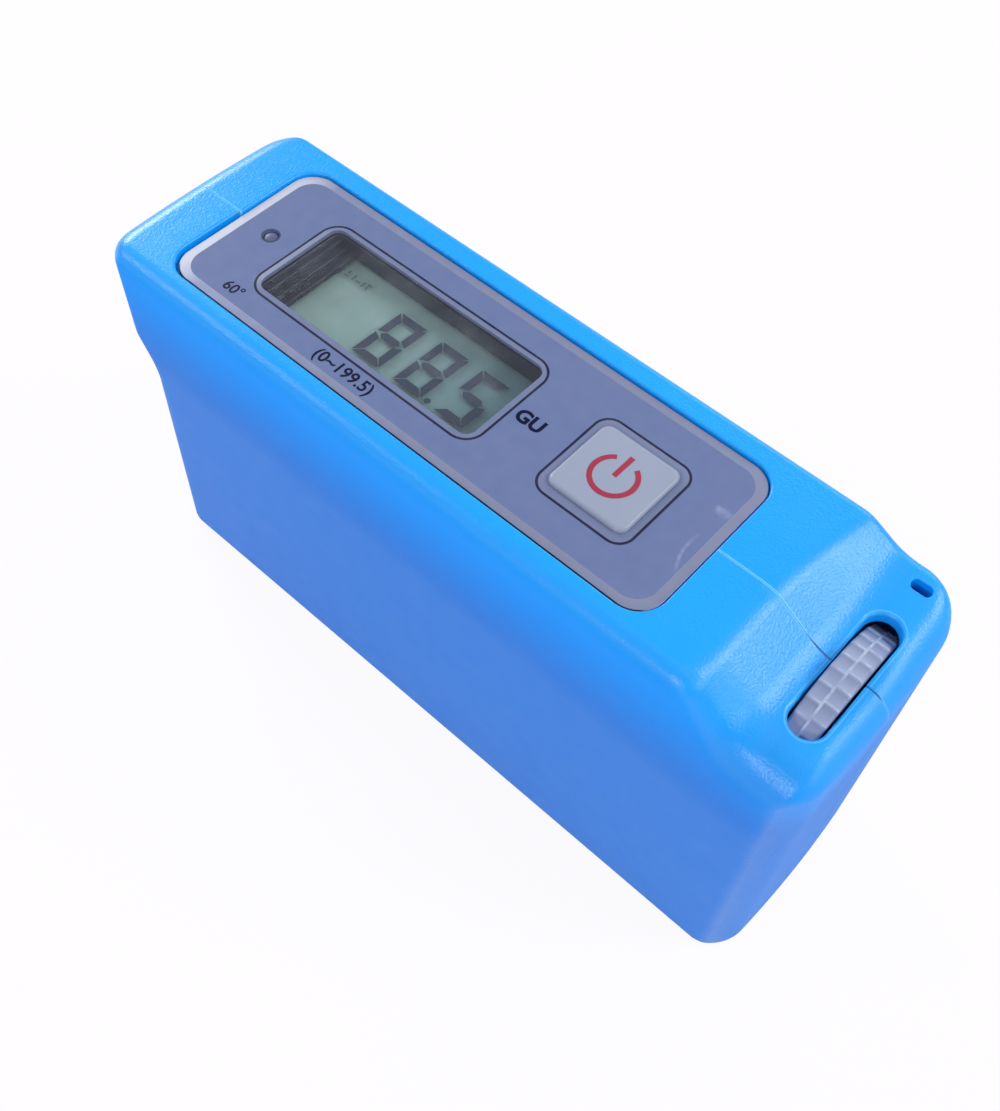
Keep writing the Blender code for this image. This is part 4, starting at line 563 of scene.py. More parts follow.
def withHeight(flat, height):
    # a third coordinate on rows of flat points, one height for each row
    return np.concatenate([flat, np.broadcast_to(height[:, None, None], flat.shape[:2] + (1,))], -1)


def slabRings(length, width, rounding, profile, centre=(0, 0), steps=8):
    # a rounded rectangle carried up a profile of (inset, height): each ring draws in by its inset,
    # and its corners are quarter circles
    inset, height = np.array(profile, float).T
    drawn = inset[:, None, None]
    sharp = np.maximum(rounding - drawn, 0.02)
    corner = np.arange(4)[None, :, None]
    angle = (corner + np.linspace(0, 1, steps + 1)[None, None, :]) * np.pi / 2
    signX = np.where((corner == 0) | (corner == 3), 1, -1)
    signY = np.where(corner < 2, 1, -1)
    x = centre[0] + signX * ((length - 2 * drawn) / 2 - sharp) + sharp * np.cos(angle)
    y = centre[1] + signY * ((width - 2 * drawn) / 2 - sharp) + sharp * np.sin(angle)
    return withHeight(np.stack([x, y], -1).reshape(len(x), -1, 2), height)


def turnedRings(profile, steps=48, centre=(0, 0, 0), axis="z"):
    # a profile of (radius, height) turned about an axis through the centre
    radius, height = np.array(profile, float).T
    angle = np.linspace(0, 2 * np.pi, steps, endpoint=False)
    across = radius[:, None] * np.cos(angle)
    along = radius[:, None] * np.sin(angle)
    high = np.broadcast_to(height[:, None], across.shape)
    order = {"z": [across, along, high], "y": [across, high, along], "x": [high, across, along]}[axis]
    return np.stack(order, -1) + np.array(centre)


def straight(low, high):
    # profile of a plain straight side
    return [[0, low], [0, high]]


def softProfile(low, high, lowEdge, highEdge, steps=5):
    # (inset, height) up the side of a slab: a quarter round at the bottom and one at the top
    angle = np.linspace(0, np.pi / 2, steps + 1)
    bottom = np.stack([lowEdge * (1 - np.sin(angle)), low + lowEdge * (1 - np.cos(angle))], -1)
    top = np.stack([highEdge * (1 - np.cos(angle)), high - highEdge * (1 - np.sin(angle))], -1)
    return np.concatenate([bottom, top]).tolist()


def flareProfile(low, top, lip, above=2.0, steps=6):
    # (inset, height) of a tool that leaves a quarter-round lip on the opening's rim
    angle = np.linspace(0, np.pi / 2, steps + 1)
    lipRows = np.stack([-lip * (1 - np.cos(angle)), top - lip * (1 - np.sin(angle))], -1)
    return [[0, low]] + lipRows.tolist() + [[-lip, top + above]]


def toBack(rings):
    # swaps height and depth, so that a slab drawn flat stands in the side face
    return rings[..., [0, 2, 1]]


def slab(name, *shape):
    # a rounded slab that stands on its flat side
    return lofted(name, slabRings(*shape))


def backSlab(name, *shape):
    # the same, standing in the side face
    return lofted(name, toBack(slabRings(*shape)))


def turned(name, *shape, looped=False):
    # a turned piece, or a ring if it is looped
    return lofted(name, turnedRings(*shape), looped)


def rod(name, radius, low, high, *place):
    # a plain round rod
    return turned(name, [(radius, low), (radius, high)], *place)


def setPiece(obj, finish, body, replaced=(), degrees=32):
    # evenly shaded, with its finish, its body and the CAD nodes that it replaces
    obj.data.materials.clear()
    obj.data.materials.append(finishes[finish])
    obj.data.shade_smooth()
    obj.data.set_sharp_from_angle(angle=math.radians(degrees))
    obj.modifiers.new("evenNormals", "WEIGHTED_NORMAL").keep_sharp = True
    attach(obj, body)
    if replaced:
        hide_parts(*replaced)


# Case

caseShape = {
    # side view from the lower left upwards: x, z, rounding, edge of the side before and after
    "corners": [
        (-55.9, 0.4, 2.5, "floor", "end"), (-54.6, 37.0, 6.0, "end", "end"),
        (-57.5, 42.5, 6.0, "end", "end"), (-57.5, 59.0, 4.0, "end", "top"),
        (40.3, 59.0, 5.0, "top", "top"), (47.9, 53.95, 8.0, "ledge", "ledge"),
        (57.5, 53.95, 3.5, "ledge", "end"), (57.5, 0.4, 2.5, "end", "floor"),
    ],
    # fillet of each edge in the front half and in the rear one
    "fillets": {"floor": (1.0, 1.0), "end": (5.0, 5.0), "top": (3.0, 1.3), "ledge": (7.5, 2.0)},
    # towards the back: how far the ledge climbs, the ramp's top moves right and the end rounding grows
    "rise": 2.8, "rampShift": 2.2, "roundingGain": 3.5, "leanPower": 1.5, "rampFoot": 50.3,
    # wall under each side of that view, and how far the side bulges
    "walls": [2.2, 2.2, 2.2, 3.0, 1.6, 1.6, 2.2, 2.2],
    "crowns": [0.8, 0.8, 0.8, 0.0, 0.0, 0.0, 0.8, 0.0],
    "halfWidth": 16.75, "sideWall": 2.2, "innerFillet": 0.8, "arcSteps": 12,
    # largest share of a side that one corner's rounding takes
    "cornerShare": 0.48,
    # rows of the side: degrees between two on a fillet outside and inside, first depth inside, how
    # much smaller the fillet is there, end and number of the even rows, and the closest two
    "filletDegrees": (6, 15), "insideFrom": 2.0, "insideLess": 1.6, "evenRows": (13, 10), "closest": 0.04,
    # parting line: gap, rounded edge, share of the wall in front of the tongue, its reach, its play
    "seamGap": 0.03, "seamEdge": 0.12, "tongueShare": 0.6, "tongueReach": 1.2, "tonguePlay": (0.1, 0.25),
}
caseBack = caseShape["halfWidth"]
caseInside = caseBack - caseShape["sideWall"]
caseTop = caseShape["corners"][3][1]
ledgeTop = caseShape["corners"][5][1]


def lean(y):
    # 0 up to the middle plane and 1 at the back, with a power of the place between
    return np.clip(y / caseBack, 0, 1) ** caseShape["leanPower"]


def caseOutlines(side, depths, shares):
    # outlines of one half at some depths from the middle plane, each at a share of the way through
    # the wall: every corner moves in along its two sides by wall + fillet + bulge, and is then
    # rounded by an arc that blends the two tangent directions
    depth = np.asarray(depths, float)[:, None]
    share = np.asarray(shares, float)[:, None]
    place = np.array([corner[:3] for corner in caseShape["corners"]])
    place = np.repeat(place[None], len(depth), 0)
    place[:, 4, 0] += caseShape["rampShift"] * lean(side * depth[:, 0])
    place[:, 5:7, 1] += caseShape["rise"] * lean(side * depth)
    place[:, 6, 2] += caseShape["roundingGain"] * lean(side * depth[:, 0])
    point = place[..., :2]
    filletIn, filletOut = np.array([
        [caseShape["fillets"][edge][int(side > 0)] for edge in corner[3:]] for corner in caseShape["corners"]
    ]).T
    reach = caseBack - share * caseShape["sideWall"]
    walls = np.array(caseShape["walls"])
    crowns = np.array(caseShape["crowns"])
    wayOut = np.roll(point, -1, 1) - point
    wayOut /= np.linalg.norm(wayOut, axis=2, keepdims=True)
    wayIn = np.roll(wayOut, 1, 1)
    normalOut = np.stack([wayOut[..., 1], -wayOut[..., 0]], -1)
    normalIn = np.roll(normalOut, 1, 1)

    def inset(wall, crown, fillet):
        rounding = np.maximum(fillet - share * wall, caseShape["innerFillet"])
        into = np.maximum(depth - (reach - rounding), 0)
        arc = rounding - np.sqrt(np.maximum(rounding ** 2 - into ** 2, 0))
        return share * wall + arc + crown * (depth / reach) ** 2

    insetIn = inset(np.roll(walls, 1), np.roll(crowns, 1), filletIn)
    insetOut = inset(walls, crowns, filletOut)
    cross = normalIn[..., 0] * normalOut[..., 1] - normalIn[..., 1] * normalOut[..., 0]
    here = point + np.stack([
        (insetIn * normalOut[..., 1] - insetOut * normalIn[..., 1]) / cross,
        (insetOut * normalIn[..., 0] - insetIn * normalOut[..., 0]) / cross,
    ], -1)
    mean = (insetIn + insetOut) / 2
    hollow = wayIn[..., 0] * wayOut[..., 1] - wayIn[..., 1] * wayOut[..., 0] > 0
    kept = np.maximum(place[..., 2] - mean, caseShape["innerFillet"])
    rounding = np.where(hollow, place[..., 2] + mean, kept)

    def neighbour(step):
        # unit way to the next or last corner, and how far it is
        way = np.roll(here, step, 1) - here
        far = np.linalg.norm(way, axis=2)
        return way / far[..., None], far

    back, backFar = neighbour(1)
    ahead, aheadFar = neighbour(-1)
    turn = np.pi - np.arccos(np.clip((back * ahead).sum(2), -1, 1))
    room = caseShape["cornerShare"] * np.minimum(backFar, aheadFar)
    tangent = np.minimum(rounding * np.tan(turn / 2), room)
    rounding = tangent / np.tan(turn / 2)
    middle = back + ahead
    middle /= np.linalg.norm(middle, axis=2, keepdims=True)
    centre = here + middle * (rounding / np.cos(turn / 2))[..., None]
    start = here + back * tangent[..., None] - centre
    finish = here + ahead * tangent[..., None] - centre
    step = np.linspace(0, 1, caseShape["arcSteps"] + 1)[None, None, :, None]
    turn = turn[..., None, None]
    arc = start[:, :, None] * np.sin((1 - step) * turn) + finish[:, :, None] * np.sin(step * turn)
    return (centre[:, :, None] + arc / np.sin(turn)).reshape(len(depth), -1, 2)


def filletDepths(half, fillets, first, degrees):
    # depths along each quarter-round edge, half - r (1 - sin a), thinned where they crowd
    angle = np.radians(np.arange(0, 90.1, degrees))
    depths = [half - r * (1 - np.sin(angle)) for r in fillets]
    depths = np.sort(np.concatenate(depths + [np.linspace(first, *caseShape["evenRows"])]))
    closest = caseShape["closest"]
    depths = depths[(depths >= first) & (depths < half - closest / 2)]
    keep = np.concatenate([[True], np.diff(depths) > closest])
    return np.append(depths[keep], half)


def caseHalf(name, side):
    # one moulded half: outer face, rounded seam edge, seam face with its tongue or rebate, inner face
    gap = caseShape["seamGap"] / 2
    edge = caseShape["seamEdge"]
    fillets = [pair[int(side > 0)] for pair in caseShape["fillets"].values()]
    outside, inside = caseShape["filletDegrees"]
    outer = filletDepths(caseBack, fillets, gap + edge, outside)
    smaller = (max(fillets) - caseShape["insideLess"], caseShape["innerFillet"])
    inner = filletDepths(caseInside, smaller, caseShape["insideFrom"], inside)
    angle = np.linspace(0, np.pi / 2, 5)[1:]
    rows = [(depth, 0.0) for depth in outer[::-1]]
    rows += [
        (gap + edge * (1 - math.sin(a)), edge * (1 - math.cos(a)) / caseShape["sideWall"]) for a in angle
    ]
    share, reach = caseShape["tongueShare"], caseShape["tongueReach"]
    if side < 0:
        rows += [(gap, share), (-reach, share), (-reach, 1.0), (gap, 1.0)]
    else:
        share -= caseShape["tonguePlay"][0]
        reach += caseShape["tonguePlay"][1]
        rows += [(gap, share), (reach, share), (reach, 1.0)]
    rows += [(depth, 1.0) for depth in inner]
    depths, shares = np.array(rows).T
    return lofted(name, toBack(withHeight(caseOutlines(side, depths, shares), side * depths)))


def ledgeHeight(x, y):
    # height above the ledge's middle: the ramp's foot is an arc, the front falls away as a fillet and
    # the back climbs
    footRounding = caseShape["corners"][5][2]
    frontFillet = caseShape["fillets"]["ledge"][0]
    foot = footRounding - np.sqrt(footRounding ** 2 - np.clip(caseShape["rampFoot"] - x, 0, 4) ** 2)
    into = np.clip(-y - (caseBack - frontFillet), 0, 0.98 * frontFillet)
    fall = frontFillet - np.sqrt(frontFillet ** 2 - into ** 2)
    return foot - fall + caseShape["rise"] * lean(y)


caseOpenings = {
    # label's pocket: gap, shift of the left end in the front half, floor, lip
    "labelGap": 0.2, "labelShift": 0.35, "pocketFloor": 57.75, "lip": 0.32,
    # openings under the label: heights, then gap or size and rounding of each
    "through": (52, 58.4), "windowGap": 0.25, "windowRounding": 1.8, "keyGap": 0.3, "keyRounding": 1.3,
    "eyeRadius": 1.35, "slotFloor": 40, "slotLip": 0.45,
    # base plate's opening: length, width, rounding, and its heights
    "floor": (100.5, 25.5, 5.25, straight(3.6, -2)),
    # oval upper hole: x, y, length, width, lip and reach below the middle of the lower one; round lower
    # hole: height, radius and where it starts
    "strap": (51.7, 13.6, 2.7, 1.4, 0.12, 3), "strapBack": (46.45, 1.0, 12.3),
    # screw bosses: radius and start; bore and its two ends; wells: radius, at the rim, depth, bevel
    "boss": (3.8, 0.3), "bore": (1.55, -8.25, 16), "well": (2.5, 2.7, 2.85, 0.2),
    # board posts: radius, gap over the board, top; bracket rails: thickness, gap, from where
    "post": (2.4, 0.25, 56.8), "rail": (1.2, 0.25, 13),
}
bossPlaces = [nodeCentre(f"case_screw_{number}")[[0, 2]] for number in range(1, 5)]
postPlaces = [nodeCentre(f"board_screw_{number}")[:2] for number in (1, 2)]
collar = {"inside": 0.2, "wall": 0.8, "rounding": 1.6}
collarSize = windowSize - 2 * collar["inside"] + 2 * collar["wall"]


def ledgeTool(name, length, width, profile, place, steps):
    # an oval cut whose lip follows the ledge
    rings = slabRings(length, width, min(length, width) / 2 - 0.01, profile, place, steps)
    rings[..., 2] += ledgeHeight(rings[..., 0], rings[..., 1])
    return lofted(name, rings)


def topTools(side):
    # what is cut through the top and the bottom of both halves
    gap = caseOpenings["labelGap"]
    shift = caseOpenings["labelShift"] if side < 0 else 0
    size = labelSize + 2 * gap + (shift, 0)
    profile = flareProfile(caseOpenings["pocketFloor"], caseTop, caseOpenings["lip"])
    pocket = slab("pocket", *size, labelRounding + gap, profile, (labelCentre[0] - shift / 2, 0), 10)
    through = straight(*caseOpenings["through"])
    size = collarSize + 2 * caseOpenings["windowGap"]
    window = slab("window", *size, caseOpenings["windowRounding"], through, windowCentre)
    size = keySide + 2 * caseOpenings["keyGap"]
    key = slab("key", size, size, caseOpenings["keyRounding"], through, keyCentre)
    eye = rod("eye", caseOpenings["eyeRadius"], *caseOpenings["through"], 32, lensCentre)
    profile = flareProfile(caseOpenings["slotFloor"], ledgeTop, caseOpenings["slotLip"], 8)
    slot = ledgeTool("slot", *slotPlace[2:], profile, slotPlace[:2], 12)
    return [pocket], [window, key, eye, slot, slab("floor", *caseOpenings["floor"])]


def makeCaseHalf(name, side):
    # the moulding with its screw bosses, board posts and bracket rails, then its openings
    shell = caseHalf(name, side)
    radius, start = caseOpenings["boss"]
    rods = [
        rod("boss", radius, side * start, side * (caseInside + 1), 32, (x, 0, z), "y")
        for x, z in bossPlaces
    ]
    radius, gap, top = caseOpenings["post"]
    low = nodeBox("main_board")[1][2] + gap
    rods += [rod("post", radius, low, top, 24, (x, -side * y, 0)) for x, y in postPlaces]
    thick, gap, start = caseOpenings["rail"]
    low, high = nodeBox("potentiometer_bracket")
    rods += [
        backSlab("rail", thick, high[2] - low[2], 0.1, straight(side * start, side * (caseInside + 0.6)),
                 (x, (low[2] + high[2]) / 2), 2)
        for x in (low[0] - gap - thick / 2, high[0] + gap + thick / 2)
    ]
    carved(shell, rods, "UNION")
    for tools in topTools(side):
        carved(shell, tools)
    carved(shell, [rod("bore", *caseOpenings["bore"], 24, (x, 0, z), "y") for x, z in bossPlaces])
    return shell


setPiece(makeCaseHalf("frontShell", -1), "case_blue", "case", ["front_shell"])
print("front shell done")

doorShape = {
    "gap": 0.12, "edge": 0.35, "rounding": 0.6, "thick": 1.38, "tabLength": 2.0,
    # pocket: start beside the tabs, depth and lip; pad behind it: margins, rounding, two depths
    "pocketFrom": 1.99, "pocketDepth": 1.62, "pocketLip": 0.25,
    "pad": (6, 4), "padRounding": 1.5, "padSpan": (13.05, 15.0),
    # battery opening: length, height, rounding, two depths
    "opening": (56.05, 15.2, 0.8, straight(10, 18)),
    "grips": 3, "gripPitch": 1.8, "gripInset": 4.0, "gripSize": (0.8, 9.0), "gripDepth": 0.4, "gripLip": 0.15,
    # tab and its root: length, height, rounding, and their shift up and down
    "tab": (4.6, 4.0, 0.3), "tabThick": 1.25, "root": (1.2, 4.0, 0.2), "rootAt": 4.0, "rootSpan": (0.2, -0.9),
    "tabShifts": (-4, 4),
}
doorLevel = (doorLow[2] + doorHigh[2]) / 2
doorHeight = doorHigh[2] - doorLow[2]


def makeRearShell():
    shell = makeCaseHalf("rearShell", 1)
    gap = doorShape["gap"]
    centre = ((doorLow[0] + doorShape["pocketFrom"] + doorHigh[0]) / 2, doorLevel)
    size = (doorHigh[0] - doorLow[0] - doorShape["tabLength"] + 2 * gap, doorHeight + 2 * gap)
    pad = backSlab("pad", *(np.array(size) + doorShape["pad"]), doorShape["padRounding"],
                   straight(*doorShape["padSpan"]), centre)
    carved(shell, [pad], "UNION")
    profile = flareProfile(caseBack - doorShape["pocketDepth"], caseBack, doorShape["pocketLip"])
    pocket = backSlab("pocket", *size, doorShape["rounding"], profile, centre)
    opening = backSlab("opening", *doorShape["opening"], (0, doorLevel))
    radius, rim, depth, bevel = caseOpenings["well"]
    well = [(radius, caseBack - depth), (radius, caseBack - bevel), (rim, caseBack), (rim, caseBack + 2)]
    wells = [turned("well", well, 40, (x, 0, z), "y") for x, z in bossPlaces]
    x, y, length, width, lip, below = caseOpenings["strap"]
    z, radius, start = caseOpenings["strapBack"]
    upper = ledgeTool("upper", length, width, flareProfile(z - below, ledgeTop, lip, 3), (x, y), 8)
    lower = turned("lower", [
        (radius, start), (radius, caseBack - lip), (radius + lip, caseBack), (radius + lip, 20),
    ], 32, (x, 0, z), "y")
    for tools in ([pocket], [opening, *wells, lower], [upper]):
        carved(shell, tools)
    setPiece(shell, "case_blue", "case", ["rear_shell"])


makeRearShell()
print("rear shell done")


def makeDoor():
    # flat lid with softened edges, grip grooves at one end and two tabs at the other
    left, face = doorLow[:2]
    right, top = doorHigh[:2]
    start = left + doorShape["tabLength"]
    profile = softProfile(top - doorShape["thick"], top, 0.1, doorShape["edge"])
    centre = ((start + right) / 2, doorLevel)
    lid = backSlab("batteryDoor", right - start, doorHeight, doorShape["rounding"], profile, centre)
    width, length = doorShape["gripSize"]
    profile = flareProfile(top - doorShape["gripDepth"], top, doorShape["gripLip"], 1)
    first = right - doorShape["gripInset"]
    grips = [first - k * doorShape["gripPitch"] for k in range(doorShape["grips"])]
    carved(lid, [
        backSlab("grip", width, length, width / 2 - 0.01, profile, (x, doorLevel)) for x in grips
    ])
    low, high = doorShape["rootSpan"]
    for name, profile, x in (
        ("tab", straight(face, face + doorShape["tabThick"]), left + doorShape["tab"][0] / 2),
        ("root", straight(face + low, top + high), left + doorShape["rootAt"]),
    ):
        carved(lid, [
            backSlab(name, *doorShape[name], profile, (x, doorLevel + shift))
            for shift in doorShape["tabShifts"]
        ], "UNION")
    setPiece(lid, "case_blue", "door", ["battery_door"])


makeDoor()
print("battery door done")


# Face

labelShape = {
    "edges": (0.05, 0.12), "windowGap": 0.03, "windowRounding": 1.5, "windowEdges": (0.05, 0.1),
    "keyGap": 0.04, "keyRounding": 1.34, "eyeRadius": 1.14,
}


def makeLabel():
    # printed sheet with openings for the window, the key and the indicator
    profile = softProfile(labelLow[2], labelTop, *labelShape["edges"], 3)
    label = slab("faceLabel", *labelSize, labelRounding, profile, labelCentre, 12)
    through = (labelLow[2] - 1, labelTop + 1)
    gap = labelShape["windowGap"]
    rounding = labelShape["windowRounding"] + gap
    window = slab("window", *(windowSize + 2 * gap), rounding, straight(*through), windowCentre)
    side = keySide + 2 * labelShape["keyGap"]
    key = slab("key", side, side, labelShape["keyRounding"], straight(*through), keyCentre)
    carved(label, [window, key, rod("eye", labelShape["eyeRadius"], *through, 40, lensCentre)])
    setPiece(label, "label_grey", "case", ["face_label"])


def makeWindow():
    profile = softProfile(windowLow[2], windowHigh[2], *labelShape["windowEdges"], 3)
    window = slab("displayWindow", *windowSize, labelShape["windowRounding"], profile, windowCentre)
    setPiece(window, "clear_window", "case", ["display_window"])


makeLabel()
makeWindow()
print("label and window done")

bezelShape = {
    # frame: how far its top lies under the collar's, rounding; seat and hole: gap and rounding
    "frameDrop": 2.0, "frameRounding": 1.4, "topRounding": 0.12, "seatGap": 0.25, "seatRounding": 0.8,
    "holeRounding": 1.0, "rimOverlap": 0.5,
    # play over the display, under the frame and under the steps
    "panelPlay": (0.05, 0.1),
    # steps at the left end: reach of each, how far each lies under the label's top, overlap, rounding
    "tierReach": 1.03, "tierTops": (1.1, 1.9, 2.7), "tierOverlap": 0.3, "tierRounding": 0.15,
}


def makeBezel():
    # frame round the display with a collar up to the window, stepped inside at its left end
    low, high = nodeBox("display_bezel")
    frameTop = high[2] - bezelShape["frameDrop"]
    profile = softProfile(low[2], frameTop, 0.1, 0.1, 2)
    body = slab("displayBezel", *(high - low)[:2], bezelShape["frameRounding"], profile, windowCentre)
    profile = softProfile(frameTop - bezelShape["rimOverlap"], high[2], 0.05, bezelShape["topRounding"], 3)
    carved(body, [slab("rim", *collarSize, collar["rounding"], profile, windowCentre)], "UNION")
    seatSize = panelSize + 2 * bezelShape["seatGap"]
    seatPlay, tierPlay = bezelShape["panelPlay"]
    profile = straight(low[2] - 1, panelHigh[2] + seatPlay)
    carved(body, [slab("seat", *seatSize, bezelShape["seatRounding"], profile, windowCentre)])
    inside = windowSize - 2 * collar["inside"]
    profile = flareProfile(low[2] - 1, high[2], 0.1, 1)
    carved(body, [slab("hole", *inside, bezelShape["holeRounding"], profile, windowCentre)])
    left = windowLow[0] + collar["inside"]
    overlap = bezelShape["tierOverlap"]
    for k, drop in enumerate(bezelShape["tierTops"]):
        reach = bezelShape["tierReach"] * (k + 1) + overlap
        profile = softProfile(panelHigh[2] + tierPlay, labelTop - drop, 0.02, 0.1, 3)
        place = (left - overlap + reach / 2, 0)
        tier = slab("tier", reach, inside[1] + overlap, bezelShape["tierRounding"], profile, place, 3)
        carved(body, [tier], "UNION")
    setPiece(body, "black_plastic", "case", ["display_bezel"])


makeBezel()
print("bezel done")

displayShape = {
    # how far the reflector and the figures lie under the panel's top, the figures' thickness and the
    # gap between them and the cover
    "reflectorDrop": 0.62, "figureDrop": 0.15, "figureThick": 0.03, "coverGap": 0.02, "rounding": 0.4,
    # left end, right end of each figure, in the part's x, and what it shows
    "figures": [(-21.78, -16.96, "8"), (-14.4, -9.6, "8"), (-7.3, -2.55, "5")],
    "low": -4.5, "high": 4.45, "stroke": 1.15, "gap": 0.15, "slant": 0.03, "point": (-8.67, -4.1, 0.45),
    # faint idle segments: left end, bottom, width and height of each small bar
    "marks": [
        (-33.0, 4.1, 0.3, 1.0), (-32.2, 4.1, 0.9, 0.3), (-32.0, 4.7, 0.3, 0.6), (-30.8, 4.1, 0.3, 1.1),
        (-30.2, 4.3, 0.9, 0.3), (-29.0, 4.1, 0.3, 1.0), (-28.4, 4.9, 0.8, 0.3), (-28.2, 4.1, 0.3, 0.6),
    ],
}
# the bars of each figure; every bar is one of three, mirrored in x or in y
segmentsOf = {"8": "abcdefg", "5": "acdfg"}
mirroredFrom = {
    "a": ("top", 0, 0), "b": ("side", 0, 0), "c": ("side", 0, 1), "d": ("top", 0, 1), "e": ("side", 1, 1),
    "f": ("side", 1, 0), "g": ("middle", 0, 0),
}


def segmentCorners(letter, width, height, stroke, gap):
    # corners of one bar of a seven-bar figure: mitred against its neighbours with a gap between
    half = height / 2
    into = stroke + gap
    thin = stroke / 2
    far, inside = width - into, width - stroke
    bars = {
        "top": [(gap, height), (width - gap, height), (far, height - stroke), (into, height - stroke)],
        "side": [(width, height - gap), (width, half + gap), (inside, half + thin + gap),
                 (inside, height - into)],
        "middle": [(thin + gap, half), (into, half + thin), (far, half + thin), (width - thin - gap, half),
                   (far, half - thin), (into, half - thin)],
    }
    kind, left, lower = mirroredFrom[letter]
    corners = np.array(bars[kind])
    if left:
        corners[:, 0] = width - corners[:, 0]
    if lower:
        corners[:, 1] = height - corners[:, 1]
    return corners


def plate(name, corners, low, high):
    # thin flat plate with the given outline
    return lofted(name, withHeight(np.stack([corners, corners]), np.array([low, high])))


def makeDisplay():
    # reflector plate, the figures above it and a clear cover over both
    top = panelHigh[2]
    high = top - displayShape["figureDrop"]
    low = high - displayShape["figureThick"]

    def sheet(name, *profile):
        return slab(name, *panelSize, displayShape["rounding"], softProfile(*profile, 2), windowCentre, 3)

    reflector = sheet("displayPanel", panelLow[2], top - displayShape["reflectorDrop"], 0.1, 0.1)
    setPiece(reflector, "display_glass", "case", ["display_panel"])
    figures = []
    height = displayShape["high"] - displayShape["low"]
    bar = (height, displayShape["stroke"], displayShape["gap"])
    for left, right, figure in displayShape["figures"]:
        for letter in segmentsOf[figure]:
            corners = segmentCorners(letter, right - left, *bar)
            corners[:, 0] += left + displayShape["slant"] * corners[:, 1]
            corners[:, 1] += displayShape["low"]
            figures.append(plate("bar", corners, low, high))
    x, y, radius = displayShape["point"]
    figures.append(rod("point", radius, low, high, 20, (x, y, 0)))
    setPiece(joined("displayFigures", figures), "digit", "case")
    idle = []
    for left, bottom, wide, tall in displayShape["marks"]:
        corners = np.array([(0, 0), (wide, 0), (wide, tall), (0, tall)]) + (left, bottom)
        idle.append(plate("mark", corners, low, high))
    setPiece(joined("idleSegments", idle), "ghost", "case")
    cover = sheet("displayCover", high + displayShape["coverGap"], top, 0.02, 0.03)
    setPiece(cover, "display_cover", "case")


makeDisplay()
print("display done")

keyShape = {
    "rounding": 1.3, "edge": 0.5, "sink": 0.03, "crown": 0.1, "capHeight": 3.5, "flatMiddle": 0.4,
    # flange and stem under the cap: the flange's top, side, thickness and rounding; the stem's radius,
    # and how far it ends under the flange's top
    "flangeTop": 55.7, "flange": 14.4, "flangeThick": 1.0, "flangeRounding": 1.2, "stem": 2.5,
    "stemDrop": 0.5,
    # symbol: ring radius, stroke, opening in degrees, bar's length, middle's y, thickness and sink
    "ring": 2.85, "stroke": 0.66, "opening": 63, "bar": 3.6, "symbolY": -0.2, "print": (0.02, 0.02),
}
keyTop = keyHigh[2] - keyShape["sink"]


def keyFall(x, y):
    # how far the key's top lies under its middle: it grows with the square of the distance
    return keyShape["crown"] * ((x - keyCentre[0]) ** 2 + (y - keyCentre[1]) ** 2) / (keySide / 2) ** 2


def makeKey():
    # square cap with a soft bevel and a crowned top
    edge = keyShape["edge"]
    profile = softProfile(keyLow[2] + keyShape["capHeight"], keyTop, 0.05, edge, 8)
    flat = np.linspace(0, keySide / 2 - edge - keyShape["flatMiddle"], 10)[1:]
    profile += [[edge + step, keyTop] for step in flat]
    rings = slabRings(keySide, keySide, keyShape["rounding"], profile, keyCentre)
    rings[..., 2] -= keyFall(rings[..., 0], rings[..., 1])
    cap = lofted("powerKey", rings)
    top, side = keyShape["flangeTop"], keyShape["flange"]
    profile = softProfile(top - keyShape["flangeThick"], top, 0.05, 0.05, 2)
    carved(cap, [slab("flange", side, side, keyShape["flangeRounding"], profile, keyCentre)], "UNION")
    stemTop = top - keyShape["stemDrop"]
    carved(cap, [rod("stem", keyShape["stem"], keyLow[2], stemTop, 40, (*keyCentre, 0))], "UNION")
    setPiece(cap, "key_grey", "key", ["power_key"])


def printed(name, x, y):
    # a mark on the key: a strip of points, its outer edge and its inner edge, laid on the crown
    thick, sink = keyShape["print"]
    x, y = keyCentre[0] + x, keyCentre[1] + keyShape["symbolY"] + y
    z = keyTop - keyFall(x, y)
    low, high = np.stack([x, y, z - sink], -1), np.stack([x, y, z + thick], -1)
    return lofted(name, np.stack([low[0], high[0], high[1], low[1]], 1))


def makeSymbol():
    # standby mark: a ring open at the top and a short bar in the gap
    opening = math.radians(keyShape["opening"] / 2)
    angle = np.linspace(np.pi / 2 + opening, 2.5 * np.pi - opening, 72)
    half = keyShape["stroke"] / 2
    radius = np.array([keyShape["ring"] + half, keyShape["ring"] - half])[:, None]
    ring = printed("ring", radius * np.cos(angle), radius * np.sin(angle))
    along = np.linspace(0, keyShape["bar"], 12)
    x = np.array([-half, half])[:, None] + 0 * along
    bar = printed("bar", x, along + 0 * x)
    setPiece(joined("powerSymbol", [ring, bar]), "symbol_red", "key")


makeKey()
makeSymbol()
print("key done")

printing = {
    # words, x and y of the lower left corner, height of a figure, weight
    "lines": [("60°", -39.0, -10.6, 1.6, 0.02), ("(0~199.5)", -22.0, -10.8, 1.75, 0.03),
              ("GU", 2.75, -1.1, 1.95, 0.07)],
    # height of a figure in lettering of size 1, the print's sink in the label and its thickness
    "figureShare": 0.7, "sink": 0.01, "thick": 0.03,
}


